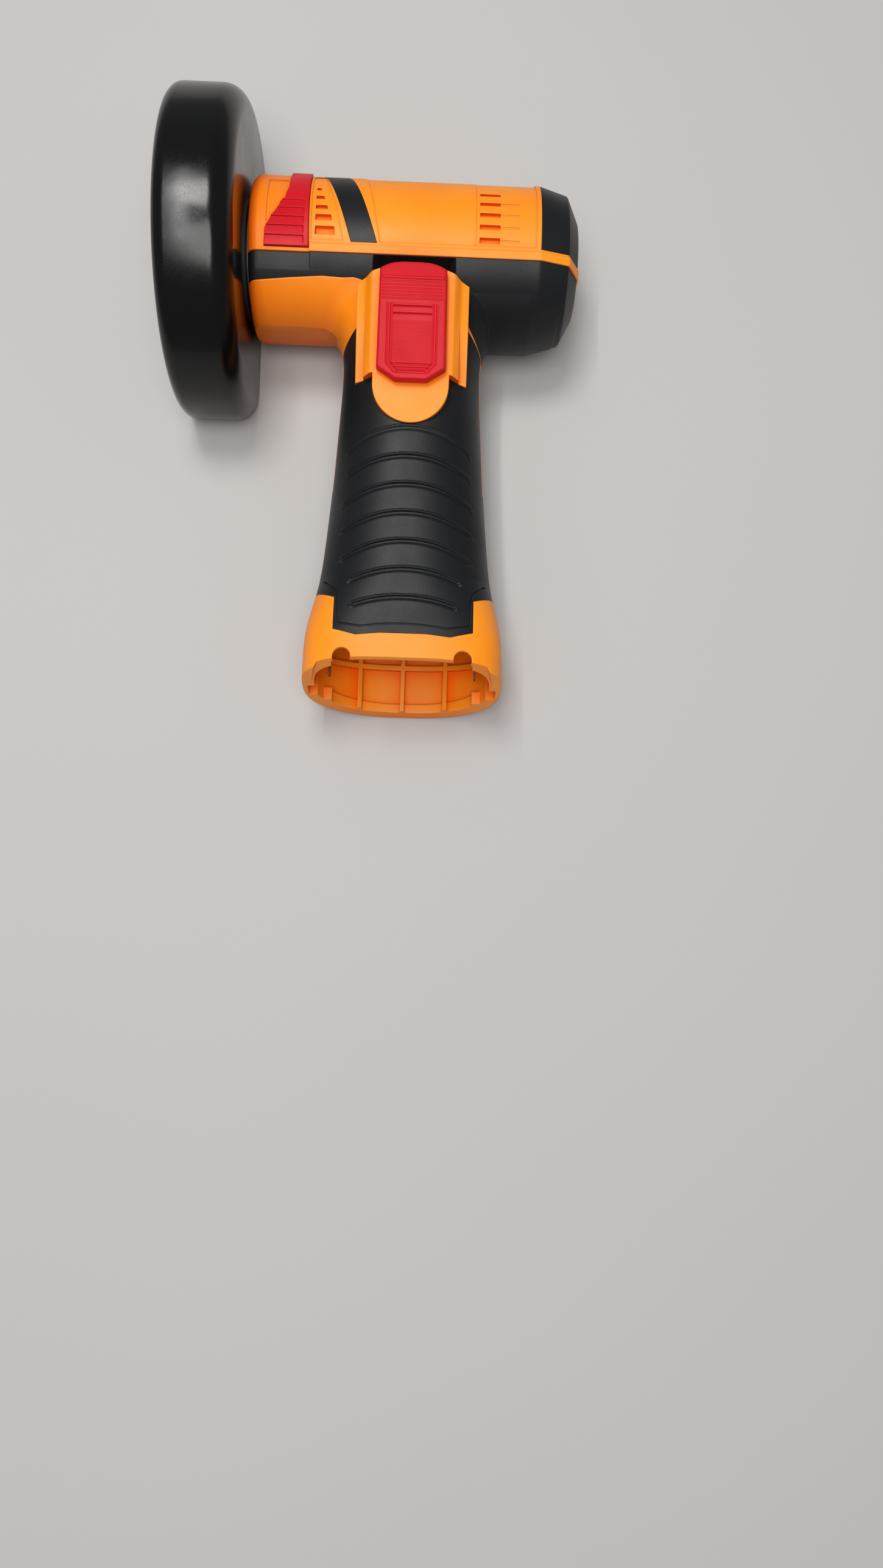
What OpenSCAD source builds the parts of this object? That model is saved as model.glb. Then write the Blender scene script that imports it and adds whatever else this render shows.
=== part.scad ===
// Toy cordless angle grinder with a pistol grip, lying on its back.
// X runs along the motor axis from the guard to the rear, the handle runs along -Y,
// and +Z points out of the face with the switch. The origin is the centre of the disc's seat.

/* [Barrel] */
// Diameter of the motor barrel
barrel_d = 43.4; // [42:0.2:48]
// Length of the motor barrel
barrel_len = 88.5; // [86:0.5:100]
// Length of the barrel's tapered rear end
rear_taper_len = 10.9; // [8:0.1:13]
// Bevel round the barrel's rear face
rear_bevel = 3.2; // [2:0.1:5]
// Thickness of the moulded shells
shell_t = 2; // [1.6:0.1:2.4]
// Thickness of the soft black pads let into the shells
pad_t = 1.2; // [0.8:0.1:1.5]

/* [Handle] */
// Width of the handle just below the barrel
neck_w = 37.6; // [35:0.2:41]
// Width of the handle at mid grip
grip_w = 41; // [38:0.2:45]
// Width of the flared base
base_w = 53.8; // [50:0.2:60]
// Distance from the motor axis to the middle of the base's open end
handle_len = 119; // [112:0.5:126]
// Slant of the base's open end
base_slant = 18.5; // [10:0.5:22]
// Number of ribs across the grip
grip_ribs = 7; // [4:1:9]

/* [Guard and flanges] */
// Outer diameter of the guard
guard_d = 86; // [84:0.5:96]
// Width of the guard's rim along the motor axis
guard_w = 20; // [18:0.5:24]
// Wall of the guard
guard_t = 2.4; // [1.6:0.1:3]
// Rounding of the guard's two shoulders
guard_round = 6; // [4:0.5:7]
// Width of the guard's inward lip
guard_lip = 5; // [3:0.5:8]
// Diameter of the flange boss that centres a disc
flange_boss_d = 10; // [9.6:0.1:12]
// Diameter of the two clamping flanges
flange_d = 19; // [17:0.5:20]

/* [Drive] */
// Gear module
gear_m = 0.5; // [0.45:0.01:0.5]
// Teeth on the motor pinion
pinion_teeth = 10; // [10:1:12]
// Teeth on the layshaft's large gear
lay_big_teeth = 22; // [20:1:22]
// Teeth on the layshaft's small gear
lay_small_teeth = 12; // [12:1:13]
// Diameter of the spindle in its bushes
spindle_d = 8; // [7.4:0.1:8.2]
// Diameter of the motor can
motor_d = 27.6; // [24:0.2:28]
// Room behind the motor can for its end bell, terminals and leads
motor_room = 19.3; // [18.5:0.1:24]

/* [Switch and lock] */
// Width of the switch slider
slider_w = 17.4; // [15:0.2:19]
// Length of the switch slider
slider_len = 29.5; // [28:0.5:31]
// Travel of the switch slider
slider_travel = 3; // [2:0.5:4]
// Slope of the switch plate along the handle
switch_tilt = 5.5; // [3:0.5:7]
// Travel of the spindle lock button
lock_travel = 2; // [1.5:0.1:2.2]
// Diameter of the lock pin
lock_pin_d = 3.6; // [3:0.1:4]

/* [Fits] */
// Radial clearance of turning parts
run_gap = 0.05; // [0.03:0.01:0.1]
// Clearance of pressed and seated parts
seat_gap = 0.02; // [0.01:0.01:0.05]
// Clearance round sliding buttons
slide_gap = 0.3; // [0.2:0.05:0.4]

/* [Hidden] */
$fn = 64;

// Colours
orange = [1.0, 0.55, 0.13];
black = [0.10, 0.10, 0.11];
red = [0.78, 0.09, 0.16];
steel = [0.72, 0.72, 0.74];
brass = [0.80, 0.62, 0.30];
grey = [0.55, 0.55, 0.57];

// Places along the motor axis
guard_reach = 12;
guard_gap = 1;
guard_x0 = -guard_reach;
guard_x1 = guard_w - guard_reach;
barrel_x0 = guard_x1 + guard_gap;
barrel_x1 = barrel_x0 + barrel_len;
handle_x = barrel_x0 + barrel_len / 2;

// Barrel and handle shells
barrel_r = barrel_d / 2;
wall = pad_t + shell_t;
cavity_r = barrel_r - wall;
facet_gap = 0.1;
swell = 2.6;
far = 200;

// Sections of the handle: distance along Y, half width, depth to the front and to the back
front_depth = 19.6;
back_depth = barrel_r - 0.4;
fillet_w = 11;
handle_table = [
  [6, neck_w / 2 + fillet_w, front_depth - 2.6, back_depth - 4.5],
  [-12, neck_w / 2 + fillet_w - 0.8, front_depth - 2, back_depth - 4.2],
  [-17, neck_w / 2 + 5.6, front_depth - 0.8, back_depth - 3.6],
  [-22, neck_w / 2 + 1.8, front_depth, back_depth - 3.2],
  [-28, neck_w / 2 + 0.2, front_depth + 0.3, back_depth - 2.9],
  [-36, neck_w / 2, front_depth + 0.2, back_depth - 2.8],
  [-50, (neck_w + grip_w) / 4, front_depth - 0.3, back_depth - 2.5],
  [-64, grip_w / 2, front_depth - 1, back_depth - 2.3],
  [-78, grip_w / 2 + 1.2, front_depth - 1.8, back_depth - 2],
  [29 - handle_len, grip_w / 2 + 2.4, front_depth - 2.3, back_depth - 1.5],
  [22 - handle_len, base_w / 2 - 2.6, front_depth - 2.3, back_depth - 1],
  [15 - handle_len, base_w / 2 - 0.7, front_depth - 2.1, back_depth - 0.5],
  [8 - handle_len, base_w / 2, front_depth - 2, back_depth - 0.2],
  [-29 - handle_len, base_w / 2, front_depth - 2, back_depth]
];
handle_rings = concat([0, -11, -15, -18, -21, -25, -31, -42, -58, -74],
                      [for (up = [33, 27, 22, 17, 12, 6, -21]) up - handle_len]);
core_rings = concat([0, -18, -26, -44, -74], [for (up = [27, 17, 6, -21]) up - handle_len]);
section_points = 40;
core_points = 24;
section_power = 2.35;
bay_roof_y = 41 - handle_len;
contact_x = 7;
contact_w = 6;
contact_t = 0.8;
contact_len = 16;
contact_reach = 12;

// Switch plate frame: a sloping plane at the top of the handle
switch_y = -28;
switch_z = front_depth + 2.7;
slider_top_y = 15;
slider_crown = 2;
slider_over = 0.8;
slider_t = 2.8;
plate_half = slider_w / 2 + 2.8;
frame_half = plate_half + 3.2;
tongue_r = 10;
tongue_y = -15;
stem_w = 6;
stem_len = 7;
knob_w = 3;
switch_drop = 6.5;
switch_h = 8;
bracket_t = 1.6;
bracket_w = 24;
bracket_len = 26;
bracket_top = -switch_drop - switch_h;
bracket_posts_at = [[-9.4, 11], [9.4, -9]];
bracket_screw_d = 1.6;

// Front views of the trim on the barrel, as distances from the handle's middle and the axis
stripe_y = -7.7;
strip_low_y = -14.3;
band_low = [-17.2, -10.1];
band_high = [-24.6, -17.2];
band_top_y = barrel_r;
rear_pad_x = barrel_len / 2 - rear_taper_len;
lock_x = [-39.1, -27.7];
lock_strap_x = -33.7;
lock_y = [-6.3, 0.5, 7.5, 18.4];
front_vent_pitch = 3.2;
rear_vent_pitch = 3.63;

// Gear train: the motor and spindle share an axis, the layshaft lies behind it
spindle_teeth = lay_big_teeth + pinion_teeth - lay_small_teeth;
gear_c = gear_m * (lay_big_teeth + pinion_teeth) / 2;
addendum = 0.65 * gear_m;
dedendum = 1.2 * gear_m;
pressure = 20;
backlash = 0.10;
gear_w = 5;
nose_r = 13;
nose_x0 = guard_x1 - guard_t - slide_gap;
shoulder_r = 15.5;
bush_len = 5;
bush_r = spindle_d / 2 + 3;
lock_ring_r = spindle_d / 2 + 2.5;
lock_ring_w = 4.6;
block_x1 = barrel_x0 + 9;
lock_ring_x = block_x1 + 0.6;
lock_pin_x = lock_ring_x + lock_ring_w / 2;
gear2_x = lock_ring_x + lock_ring_w + 1;
gear1_x = gear2_x + gear_w + 1;
gear_plate_x = gear1_x + gear_w + 2;
gear_plate_t = 3;
tail_d = spindle_d - 2;
cavity_main_r = max(lock_ring_r, gear_m * spindle_teeth / 2) + 2;
lay_big_r = gear_m * lay_big_teeth / 2 + addendum;
lobe_r = lay_big_r + 0.8;
lobe_wall = 1.6;
lay_pin_d = 2;
housing_ear = nose_r - 1.7;

// Spindle lock and guard
lock_proud = 0.7;
lock_lip = 0.9;
pin_rest_r = lock_ring_r + 0.6;
guard_cut = barrel_r - 0.5;
guard_ring_t = 1.6;
guard_screw_r = 11.2;
guard_screw_turns = [90, 210, 330];

// Motor
motor_x0 = gear_plate_x + gear_plate_t;
motor_x1 = barrel_x1 - motor_room;
motor_len = motor_x1 - motor_x0;
motor_r = motor_d / 2;
motor_shaft_d = 2.3;
motor_boss_r = 4;
can_t = 1;
magnet_t = 2.6;
bell_t = 3;
motor_screw_pitch = 12.4;
commutator_r = 3.4;
terminal_y = 6.4;
terminal_len = 3;
magnet_x = [motor_x0 + 6, motor_x1 - 8];
armature_gap = 1;

// Flanges
flange_r = flange_d / 2;
inner_flange_t = 2.6;
outer_flange_t = 2.6;
boss_len = 1;
clamp_d = 4;

// Fasteners
screw_d = 2.2;
screw_head_d = 3.6;
screw_boss_r = 2.3;
screw_grip = 7.5;
housing_screw_places = [
  [handle_x - 7, barrel_r - 5.4], [barrel_x1 - 20.25, barrel_r - 5.4], [barrel_x1 - 10.75, 5.4 - barrel_r],
  for (x = [-1, 1]) [handle_x + x * 11.5, bay_roof_y + 24],
  for (x = [-1, 1]) [handle_x + x * 15, bay_roof_y + 6]
];

// Leads inside the handle
lead_d = 1.6;
lead_end_x = motor_x1 + bell_t + 2;
battery_lead_route = [[handle_x - 7, bay_roof_y + 4.6, 0], [handle_x - 7, -68, 2], [handle_x - 6, -60, 4],
                      [handle_x - 5, -52, 3.4], [handle_x - 4, -42, 3.4], [handle_x - 4, -32, 4.8]];
motor_lead_route = [[handle_x + 4, -26, 5], [handle_x + 9, -22, 3], [handle_x + 15, -16.8, 0],
                    [handle_x + 22, -16.2, -1], [motor_x1, -16, -1], [lead_end_x + 2, -13, -1],
                    [lead_end_x + 4, -9, 0], [lead_end_x + 3, -terminal_y - 1.2, 0],
                    [lead_end_x - 1, -terminal_y - 1.2, 0]];
return_lead_route = [[handle_x + 7, bay_roof_y + 4.6, 0], [handle_x + 8, -68, -4], [handle_x + 7, -56, -7],
                     [handle_x + 9, -40, -8], [handle_x + 10, -26, -8], [handle_x + 13, -16, -6.8],
                     [handle_x + 19, -14.4, -6.4], [motor_x1, -14.4, -6.4], [lead_end_x + 2, -11, -7],
                     [lead_end_x + 5, 0, -6], [lead_end_x + 4, 6, -2], [lead_end_x + 3, terminal_y + 1.2, 0],
                     [lead_end_x - 1, terminal_y + 1.2, 0]];

// Formulas

// Value of one column of the handle's table at y, with the corners between rows eased
function at(y, column) =
  let (t = [for (row = handle_table) [-row[0], row[column]]], ease = [-5, -2.5, 0, 2.5, 5])
  [for (e = ease) lookup(-y + e, t)] * [1, 1, 1, 1, 1] / len(ease);

// One section of the handle, drawn in by inset
function section(y, inset, points) =
  let (hw = at(y, 1) - inset, front = at(y, 2) - inset, back = at(y, 3) - inset, e = 2 / section_power)
  [for (i = [0:points - 1])
    let (a = 360 * i / points, c = cos(a), s = sin(a))
    [handle_x + hw * sign(c) * pow(abs(c), e), y, (s >= 0 ? front : back) * sign(s) * pow(abs(s), e)]];

// Arc in the plane from angle a0 to a1
function arc(x, y, r, a0, a1, n = 8) =
  [for (i = [0:n]) let (a = a0 + (a1 - a0) * i / n) [x + r * cos(a), y + r * sin(a)]];

// Half thickness of a gear tooth, as an angle, at radius r
function involute(a) = tan(a) * 180 / PI - a;
function tooth_half(teeth, r) =
  let (pitch_r = gear_m * teeth / 2, base_r = pitch_r * cos(pressure),
       at_r = acos(min(1, base_r / max(r, base_r))))
  90 / teeth - backlash / 2 / pitch_r * 180 / PI + involute(pressure) - involute(at_r);

// Turn that brings a gap of a gear, not a tooth, towards the motor axis
function gap_turn(teeth) = teeth % 2 == 0 ? 180 / teeth : 0;

// Outline of a gear with a tooth on the +X axis
function gear_outline(teeth) =
  let (pitch_r = gear_m * teeth / 2, root_r = pitch_r - dedendum, tip_r = pitch_r + addendum,
       flank = [for (i = [0:5]) root_r + (tip_r - root_r) * i / 5])
  [for (k = [0:teeth - 1]) let (a = 360 * k / teeth)
    each concat([for (r = flank) let (h = a - tooth_half(teeth, r)) r * [cos(h), sin(h)]],
                [for (i = [5:-1:0]) let (r = flank[i], h = a + tooth_half(teeth, r)) r * [cos(h), sin(h)]])];

// Depth below the parting plane at which a housing screw's head seats
function screw_seat(p) = p[1] > -30 ? 9 : 12;

// Unit vector
function unit(v) = v / norm(v);

// Shared shapes

// A freely curved moulding, kept as one skin of facets
module moulded() {
  resize([0, 0, 0]) children();
}

// A solid through closed rings of points
module loft(rings) {
  n = len(rings[0]);
  last = len(rings) - 1;
  polyhedron(
    points = [for (ring = rings) each ring],
    faces = concat(
      [[for (i = [0:n - 1]) i]],
      [for (j = [0:last - 1], i = [0:n - 1]) [j * n + (i + 1) % n, j * n + i, (j + 1) * n + i]],
      [for (j = [0:last - 1], i = [0:n - 1])
        let (next = (i + 1) % n) [(j + 1) * n + next, j * n + next, (j + 1) * n + i]],
      [[for (i = [n - 1:-1:0]) last * n + i]]
    )
  );
}

// A tube of diameter d swept along points
module tube(route, d, sides = 8) {
  last = len(route) - 1;
  along = [for (i = [0:last]) unit(route[min(i + 1, last)] - route[max(i - 1, 0)])];
  loft([for (i = [0:last])
    let (side = unit(cross(along[i], [0.31, 0.24, 0.92])), up = cross(side, along[i]))
    [for (k = [0:sides - 1]) let (a = -360 * k / sides) route[i] + (side * cos(a) + up * sin(a)) * d / 2]]);
}

// Turns a shape built along +Z to lie along the motor axis, starting at x
module along_x(x) {
  translate([x, 0, 0]) rotate([0, 90, 0]) children();
}

module rod(x0, x1, r) {
  along_x(x0) cylinder(r = r, h = x1 - x0);
}

module pipe(x0, x1, r_out, r_in) {
  difference() {
    rod(x0, x1, r_out);
    rod(x0 - 1, x1 + 1, r_in);
  }
}

// Half space in front of (side 1) or behind (side -1) the parting plane
module half(side) {
  translate([-far / 2, -far, side > 0 ? 0 : -far]) cube([2 * far, 2 * far, far]);
}

// A front view extruded right through one half
module view_prism(points, side) {
  mirror([0, 0, side > 0 ? 0 : 1]) linear_extrude(far) polygon([for (p = points) [handle_x + p[0], p[1]]]);
}

module barrel_form(inset) {
  r = barrel_r - inset;
  edge = 1.2;
  end = barrel_len - inset;
  along_x(barrel_x0)
    rotate_extrude($fn = 80)
      polygon([[0, 0], [r - edge, 0], [r, edge], [r, end - rear_taper_len], [r - 2.2, end - rear_bevel],
               [r - 2.2 - 2 * rear_bevel, end], [0, end]]);
}

module handle_form(inset) {
  loft([for (y = handle_rings) section(y, inset, section_points)]);
}

// Inner wall of the handle, with fewer facets
module handle_core(inset) {
  loft([for (y = core_rings) section(y, inset, core_points)]);
}

// Everything beyond the slanted open end of the base, moved in by inset
module beyond_base(inset = 0) {
  translate([-far / 2, inset - handle_len, 0])
    rotate([-base_slant, 0, 0])
      translate([0, -far, -far]) cube([2 * far, far, 2 * far]);
}

// The sloping switch plate's own frame
module on_switch_plate() {
  translate([handle_x, switch_y, switch_z]) rotate([switch_tilt, 0, 0]) children();
}

// Outline of the switch frame with its pointed corners and round tongue
module switch_outline(grow = 0) {
  h = frame_half + grow;
  polygon(concat(
    [[-h, 21], [-h, -13.6], [-tongue_r - grow, -12.3]],
    arc(0, tongue_y, tongue_r + grow, 180, 360, 24),
    [[tongue_r + grow, -12.3], [h, -13.6], [h, 21]]
  ));
}

// Raised plate that carries the switch slider, with sloping sides
module switch_boss() {
  on_switch_plate()
    intersection() {
      translate([0, 0, -20]) linear_extrude(20) switch_outline();
      rotate([90, 0, 0])
        translate([0, 0, -far / 2])
          linear_extrude(far)
            polygon([[-plate_half, 0], [plate_half, 0], [frame_half + 0.5, -3.6], [frame_half + 0.5, -30],
                     [-frame_half - 0.5, -30], [-frame_half - 0.5, -3.6]]);
      translate([0, 0, -20])
        linear_extrude(20)
          polygon([[-far, -far], [far, -far], [far, slider_top_y - 3.6], [frame_half, slider_top_y - 3.6],
                   [plate_half - 1, slider_top_y - 1], [slider_w / 2 - 1.2, slider_top_y],
                   [-slider_w / 2 + 1.2, slider_top_y], [-plate_half + 1, slider_top_y - 1],
                   [-frame_half, slider_top_y - 3.6], [-far, slider_top_y - 3.6]]);
    }
}

// Recess in the front pad, between the stripe and the switch plate
module switch_recess() {
  difference() {
    view_prism([[-plate_half + 1.4, stripe_y], [plate_half - 1.4, stripe_y],
                [plate_half + 0.6, strip_low_y], [-plate_half - 0.6, strip_low_y]], 1);
    barrel_form(pad_t / 2);
  }
}

// Casing

// Front view of the soft grip on the handle
module grip_zone(side) {
  step = base_w / 2 - 8.6;
  ear_y = 23 - handle_len;
  low_y = 11.7 - handle_len;
  right = [[8, -23], [frame_half, -25], [neck_w / 2 + 3, -31.5], [base_w, -31.5], [base_w, ear_y],
           [base_w / 2 - 2.2, ear_y], [step, ear_y - 2.5], [step, low_y], [step - 6, low_y - 1.6],
           [6, low_y - 1]];
  outline = concat(right, [for (i = [len(right) - 1:-1:0]) [-right[i][0], right[i][1]]]);
  difference() {
    view_prism(outline, side);
    if (side > 0) on_switch_plate() translate([0, 0, -far / 2]) linear_extrude(far) switch_outline();
  }
}

// Front view of the soft pad on the barrel's lower half, with its narrow strip to the front
module barrel_zone(side) {
  right = side > 0 ? frame_half - 1 : neck_w / 2 - 4;
  left = side > 0 ? -plate_half : -neck_w / 2 + 2;
  front_end = -barrel_len / 2 - 1;
  view_prism([[front_end, stripe_y], [barrel_len, stripe_y], [barrel_len, -30], [neck_w / 2 + 3, -30],
              [neck_w / 2 - 1.2, -23], [right, -18.6], [right, strip_low_y],
              [left, strip_low_y + 2.6], [left - 3.6, strip_low_y + 1.6], [left - 7.2, strip_low_y + 1.2],
              [left - 13, strip_low_y + 1.5], [left - 22, strip_low_y + 0.9], [front_end, strip_low_y]],
             side);
}

module band_zone(side) {
  view_prism([[band_low[0], stripe_y + 2.6], [band_low[1], stripe_y + 2.6],
              [band_high[1] + 5, 6], [band_high[1] + 2.2, band_top_y * 0.7], [band_high[1], band_top_y + 1],
              [band_high[0], band_top_y + 1]], side);
}

module rear_pad_zone(side) {
  view_prism([[rear_pad_x, stripe_y + 2.6], [barrel_len, stripe_y + 2.6], [barrel_len, barrel_len],
              [rear_pad_x, barrel_len]], side);
}

// A pad of the barrel's skin over one zone
module barrel_skin() {
  intersection() {
    children();
    difference() {
      barrel_form(0);
      barrel_form(pad_t);
    }
  }
}

// Fuller form of the lower barrel behind the handle
module swell_form() {
  intersection() {
    translate([0, -swell, 0]) barrel_form(swell - 0.9);
    translate([handle_x, -far, -far]) cube(2 * far);
  }
}

// Blind slots that look like air vents, in two groups
module vents(side) {
  depth = 1;
  front_w = [5.3, 4.4, 3.3, 2.3, 1.3];
  difference() {
    mirror([0, 0, side > 0 ? 0 : 1])
      linear_extrude(far)
        for (i = [0:4]) {
          translate([handle_x - 26.4, -2.8 + front_vent_pitch * i]) square([front_w[i], 1.6 - 0.16 * i]);
          translate([handle_x + 17, -4 + rear_vent_pitch * i]) square([5.4, 1.5 - 0.12 * i]);
        }
    along_x(barrel_x0) cylinder(r = barrel_r - depth, h = barrel_len, $fn = 80);
  }
}

// Window in the front shell for the lock button
module lock_outline() {
  polygon([for (p = [[lock_x[0], lock_y[0]], [lock_x[1], lock_y[0]], [lock_x[1] - 0.2, lock_y[3]],
                     [lock_strap_x, lock_y[3]], [lock_strap_x - 0.3, lock_y[2]], [lock_x[0], lock_y[1]]])
    [handle_x + p[0], p[1]]]);
}

// Hollow inside both shells, with the bay at the base and the room under the switch plate
module hollow() {
  along_x(barrel_x0 + shell_t) cylinder(r = cavity_r, h = barrel_len - shell_t - rear_taper_len, $fn = 48);
  along_x(motor_x1)
    cylinder(r = cavity_r - rear_bevel, h = barrel_x1 - wall - rear_bevel - motor_x1, $fn = 48);
  handle_core(wall);
  on_switch_plate()
    translate([-plate_half + shell_t, -12, -14]) cube([2 * (plate_half - shell_t), 24, 14 - shell_t]);
}

// Half rings that hold the gear housing and the motor
module carriers(side) {
  $fn = 40;
  intersection() {
    half(side);
    translate([-far / 2, -11, -far / 2]) cube([2 * far, far, far]);
    difference() {
      union() {
        pipe(gear_plate_x - 6, gear_plate_x - 4, cavity_r + 0.5, nose_r + facet_gap);
        pipe(motor_x0 + 5, motor_x0 + 7, cavity_r + 0.5, motor_r + facet_gap);
        pipe(motor_x1 - 8, motor_x1 - 6, cavity_r + 0.5, motor_r + facet_gap);
      }
      gear_lobe(gear_plate_x - 10, gear_plate_x, lobe_r + lobe_wall + facet_gap);
    }
  }
}

// Screw bosses standing on the parting plane
module screw_posts(side) {
  intersection() {
    half(side);
    for (p = housing_screw_places)
      translate([p[0], p[1], -far / 2]) cylinder(r = screw_boss_r, h = far, $fn = 16);
    union() {
      barrel_form(pad_t);
      handle_form(pad_t);
    }
  }
}

// Ribs on the bay's inner wall
module bay_ribs(side) {
  intersection() {
    half(side);
    difference() {
      handle_core(wall - 0.2);
      handle_core(wall + 2.2);
    }
    union() {
      for (x = [-12, 0, 12])
        translate([handle_x + x - 0.6, -handle_len - 20, -far / 2]) cube([1.2, far / 5 + 18, far]);
      translate([handle_x - 16, 7 - handle_len, -far / 2]) cube([32, 1.4, far]);
    }
    translate([-far / 2, -far, -far / 2]) cube([2 * far, far + bay_roof_y - 2, far]);
  }
}

// Slots in the base's sides where a pack's latches would catch
module latch_slots() {
  for (side = [-1, 1])
    translate([handle_x + side * (base_w / 2 - wall / 2) - wall, -handle_len - 4, -5]) cube([2 * wall, 9, 6]);
}

// One half of the casing, before its pads are let in
module casing_half(side) {
  difference() {
    intersection() {
      half(side);
      difference() {
        union() {
          barrel_form(0);
          handle_form(0);
          if (side > 0) switch_boss();
        }
        hollow();
      }
    }
    beyond_base();
    rod(barrel_x0 - 1, barrel_x0 + shell_t + 1, shoulder_r + facet_gap);
  }
}

module front_shell() {
  color(orange)
    moulded()
      difference() {
        union() {
          casing_half(1);
          screw_posts(1);
          carriers(1);
          bay_ribs(1);
          bracket_posts();
        }
        beyond_base();
        pads_cut(1);
        vents(1);
        linear_extrude(far) offset(delta = slide_gap) lock_outline();
        slider_slot();
        bracket_screw_holes();
        latch_slots();
        for (x = [-1, 1])
          translate([handle_x + x * 15.8, -handle_len + 4, 4]) cylinder(r = 3, h = far, $fn = 16);
        for (p = housing_screw_places)
          translate([p[0], p[1], -1]) cylinder(d = screw_d + 2 * seat_gap, h = screw_grip + 1.5, $fn = 16);
      }
}

module back_shell() {
  color(orange)
    moulded()
      difference() {
        union() {
          casing_half(-1);
          screw_posts(-1);
          carriers(-1);
          bay_ribs(-1);
        }
        beyond_base();
        pads_cut(-1);
        vents(-1);
        latch_slots();
        screw_head_wells();
        for (p = housing_screw_places)
          translate([p[0], p[1], -far / 2]) cylinder(d = screw_d + 2 * run_gap, h = far, $fn = 16);
      }
}

// Wells in the back that the housing screws' heads sit in
module screw_head_wells() {
  for (p = housing_screw_places)
    translate([p[0], p[1], -far - screw_seat(p)])
      cylinder(d = screw_head_d + 2 * slide_gap, h = far, $fn = 20);
}

// Recesses for all the pads of one half
module pads_cut(side) {
  intersection() {
    grip_zone(side);
    difference() {
      handle_form(-1);
      handle_form(pad_t);
    }
  }
  difference() {
    union() {
      barrel_zone(side);
      band_zone(side);
      rear_pad_zone(side);
    }
    barrel_form(pad_t);
    handle_form(pad_t);
    if (side > 0) switch_boss();
  }
}

// Soft grip with curved ribs standing proud
module handle_grip(side) {
  rib_proud = 0.6;
  rib_w = 1.3;
  bow_r = 52;
  rib_y0 = -59.2;
  pitch = (handle_len + rib_y0 - 7.4) / grip_ribs;
  intersection() {
    grip_zone(side);
    difference() {
      union() {
        handle_form(0);
        intersection() {
          handle_form(-rib_proud);
          linear_extrude(2 * far, center = true)
            for (i = [0:grip_ribs - 1])
              intersection() {
                translate([handle_x, rib_y0 - pitch * i - bow_r])
                  difference() {
                    circle(r = bow_r, $fn = 72);
                    circle(r = bow_r - rib_w, $fn = 72);
                  }
                translate([handle_x - grip_w * 0.38, -far]) square([grip_w * 0.76, 2 * far]);
                translate([handle_x - grip_w, rib_y0 - pitch * i - 4]) square([2 * grip_w, 8]);
              }
        }
      }
      handle_form(pad_t);
    }
  }
}

module front_handle_grip() {
  color(black) moulded() handle_grip(1);
}

module back_handle_grip() {
  color(black)
    moulded()
      difference() {
        handle_grip(-1);
        screw_head_wells();
      }
}

module barrel_grip(side) {
  difference() {
    intersection() {
      barrel_zone(side);
      union() {
        barrel_form(0);
        handle_form(0);
        swell_form();
      }
    }
    barrel_form(pad_t);
    handle_form(pad_t);
    if (side > 0) switch_boss();
  }
}

module front_barrel_grip() {
  color(black)
    moulded()
      difference() {
        barrel_grip(1);
        switch_recess();
      }
}

module back_barrel_grip() {
  color(black)
    moulded()
      difference() {
        barrel_grip(-1);
        screw_head_wells();
      }
}

module front_band() {
  color(black) moulded() barrel_skin() band_zone(1);
}

module back_band() {
  color(black) moulded() barrel_skin() band_zone(-1);
}

module front_rear_pad() {
  color(black) moulded() barrel_skin() rear_pad_zone(1);
}

module back_rear_pad() {
  color(black) moulded() barrel_skin() rear_pad_zone(-1);
}

// Switch

// Outline of the slider, crowned at the top and cut off at its lower corners
module slider_outline(inset = 0) {
  h = slider_w / 2 - inset;
  top = slider_top_y + slider_over - inset;
  low = slider_top_y - slider_len - slide_gap + inset;
  crown = [for (i = [-4:4]) [h * i / 4, top - slider_crown * pow(i / 4, 2)]];
  polygon(concat(crown, [[h + 0.3, low + 3], [h - 4.6, low], [-h + 4.6, low], [-h - 0.3, low + 3]]));
}

// Slot in the switch plate for the slider's stem
module slider_slot() {
  on_switch_plate()
    translate([-stem_w / 2 - slide_gap, -stem_len / 2 - slide_gap, -8])
      cube([stem_w + 2 * slide_gap, stem_len + slider_travel + 2 * slide_gap, 12]);
}

module switch_slider() {
  color(red)
    on_switch_plate() {
      difference() {
        union() {
          translate([0, 0, slide_gap]) linear_extrude(slider_t - 0.8) slider_outline();
          translate([0, 0, slide_gap + slider_t - 0.8]) linear_extrude(0.8) slider_outline(0.8);
        }
        translate([-slider_w / 2 + 3.2, slider_top_y - slider_len + 2.4, slide_gap + slider_t - 0.7])
          cube([slider_w - 6.4, slider_len - 14, 1]);
      }
      difference() {
        translate([-stem_w / 2, -stem_len / 2, -4.4]) cube([stem_w, stem_len, 4.4 + slide_gap + 0.5]);
        translate([-stem_w, -knob_w / 2 - seat_gap, -5]) cube([2 * stem_w, knob_w + 2 * seat_gap, 3.2]);
      }
    }
}

module switch_knob() {
  color(black)
    on_switch_plate()
      translate([-knob_w / 2, -knob_w / 2, -switch_drop + 0.1]) cube([knob_w, knob_w, switch_drop - 2.2]);
}

module slide_switch() {
  color(grey)
    on_switch_plate()
      difference() {
        translate([-5, -12, -switch_drop - switch_h]) cube([10, 20, switch_h]);
        translate([-knob_w / 2 - slide_gap, -knob_w / 2 - slide_gap, -switch_drop - 2])
          cube([knob_w + 2 * slide_gap, knob_w + slider_travel + 2 * slide_gap, 4]);
      }
}

// Posts under the switch plate that the bracket is screwed to
module bracket_posts() {
  on_switch_plate()
    for (p = bracket_posts_at) translate([p[0], p[1], bracket_top]) cylinder(r = 2, h = 13, $fn = 16);
}

module bracket_screw_holes() {
  on_switch_plate()
    for (p = bracket_posts_at)
      translate([p[0], p[1], bracket_top - 1]) cylinder(d = bracket_screw_d + 2 * seat_gap, h = 8, $fn = 16);
}

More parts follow.
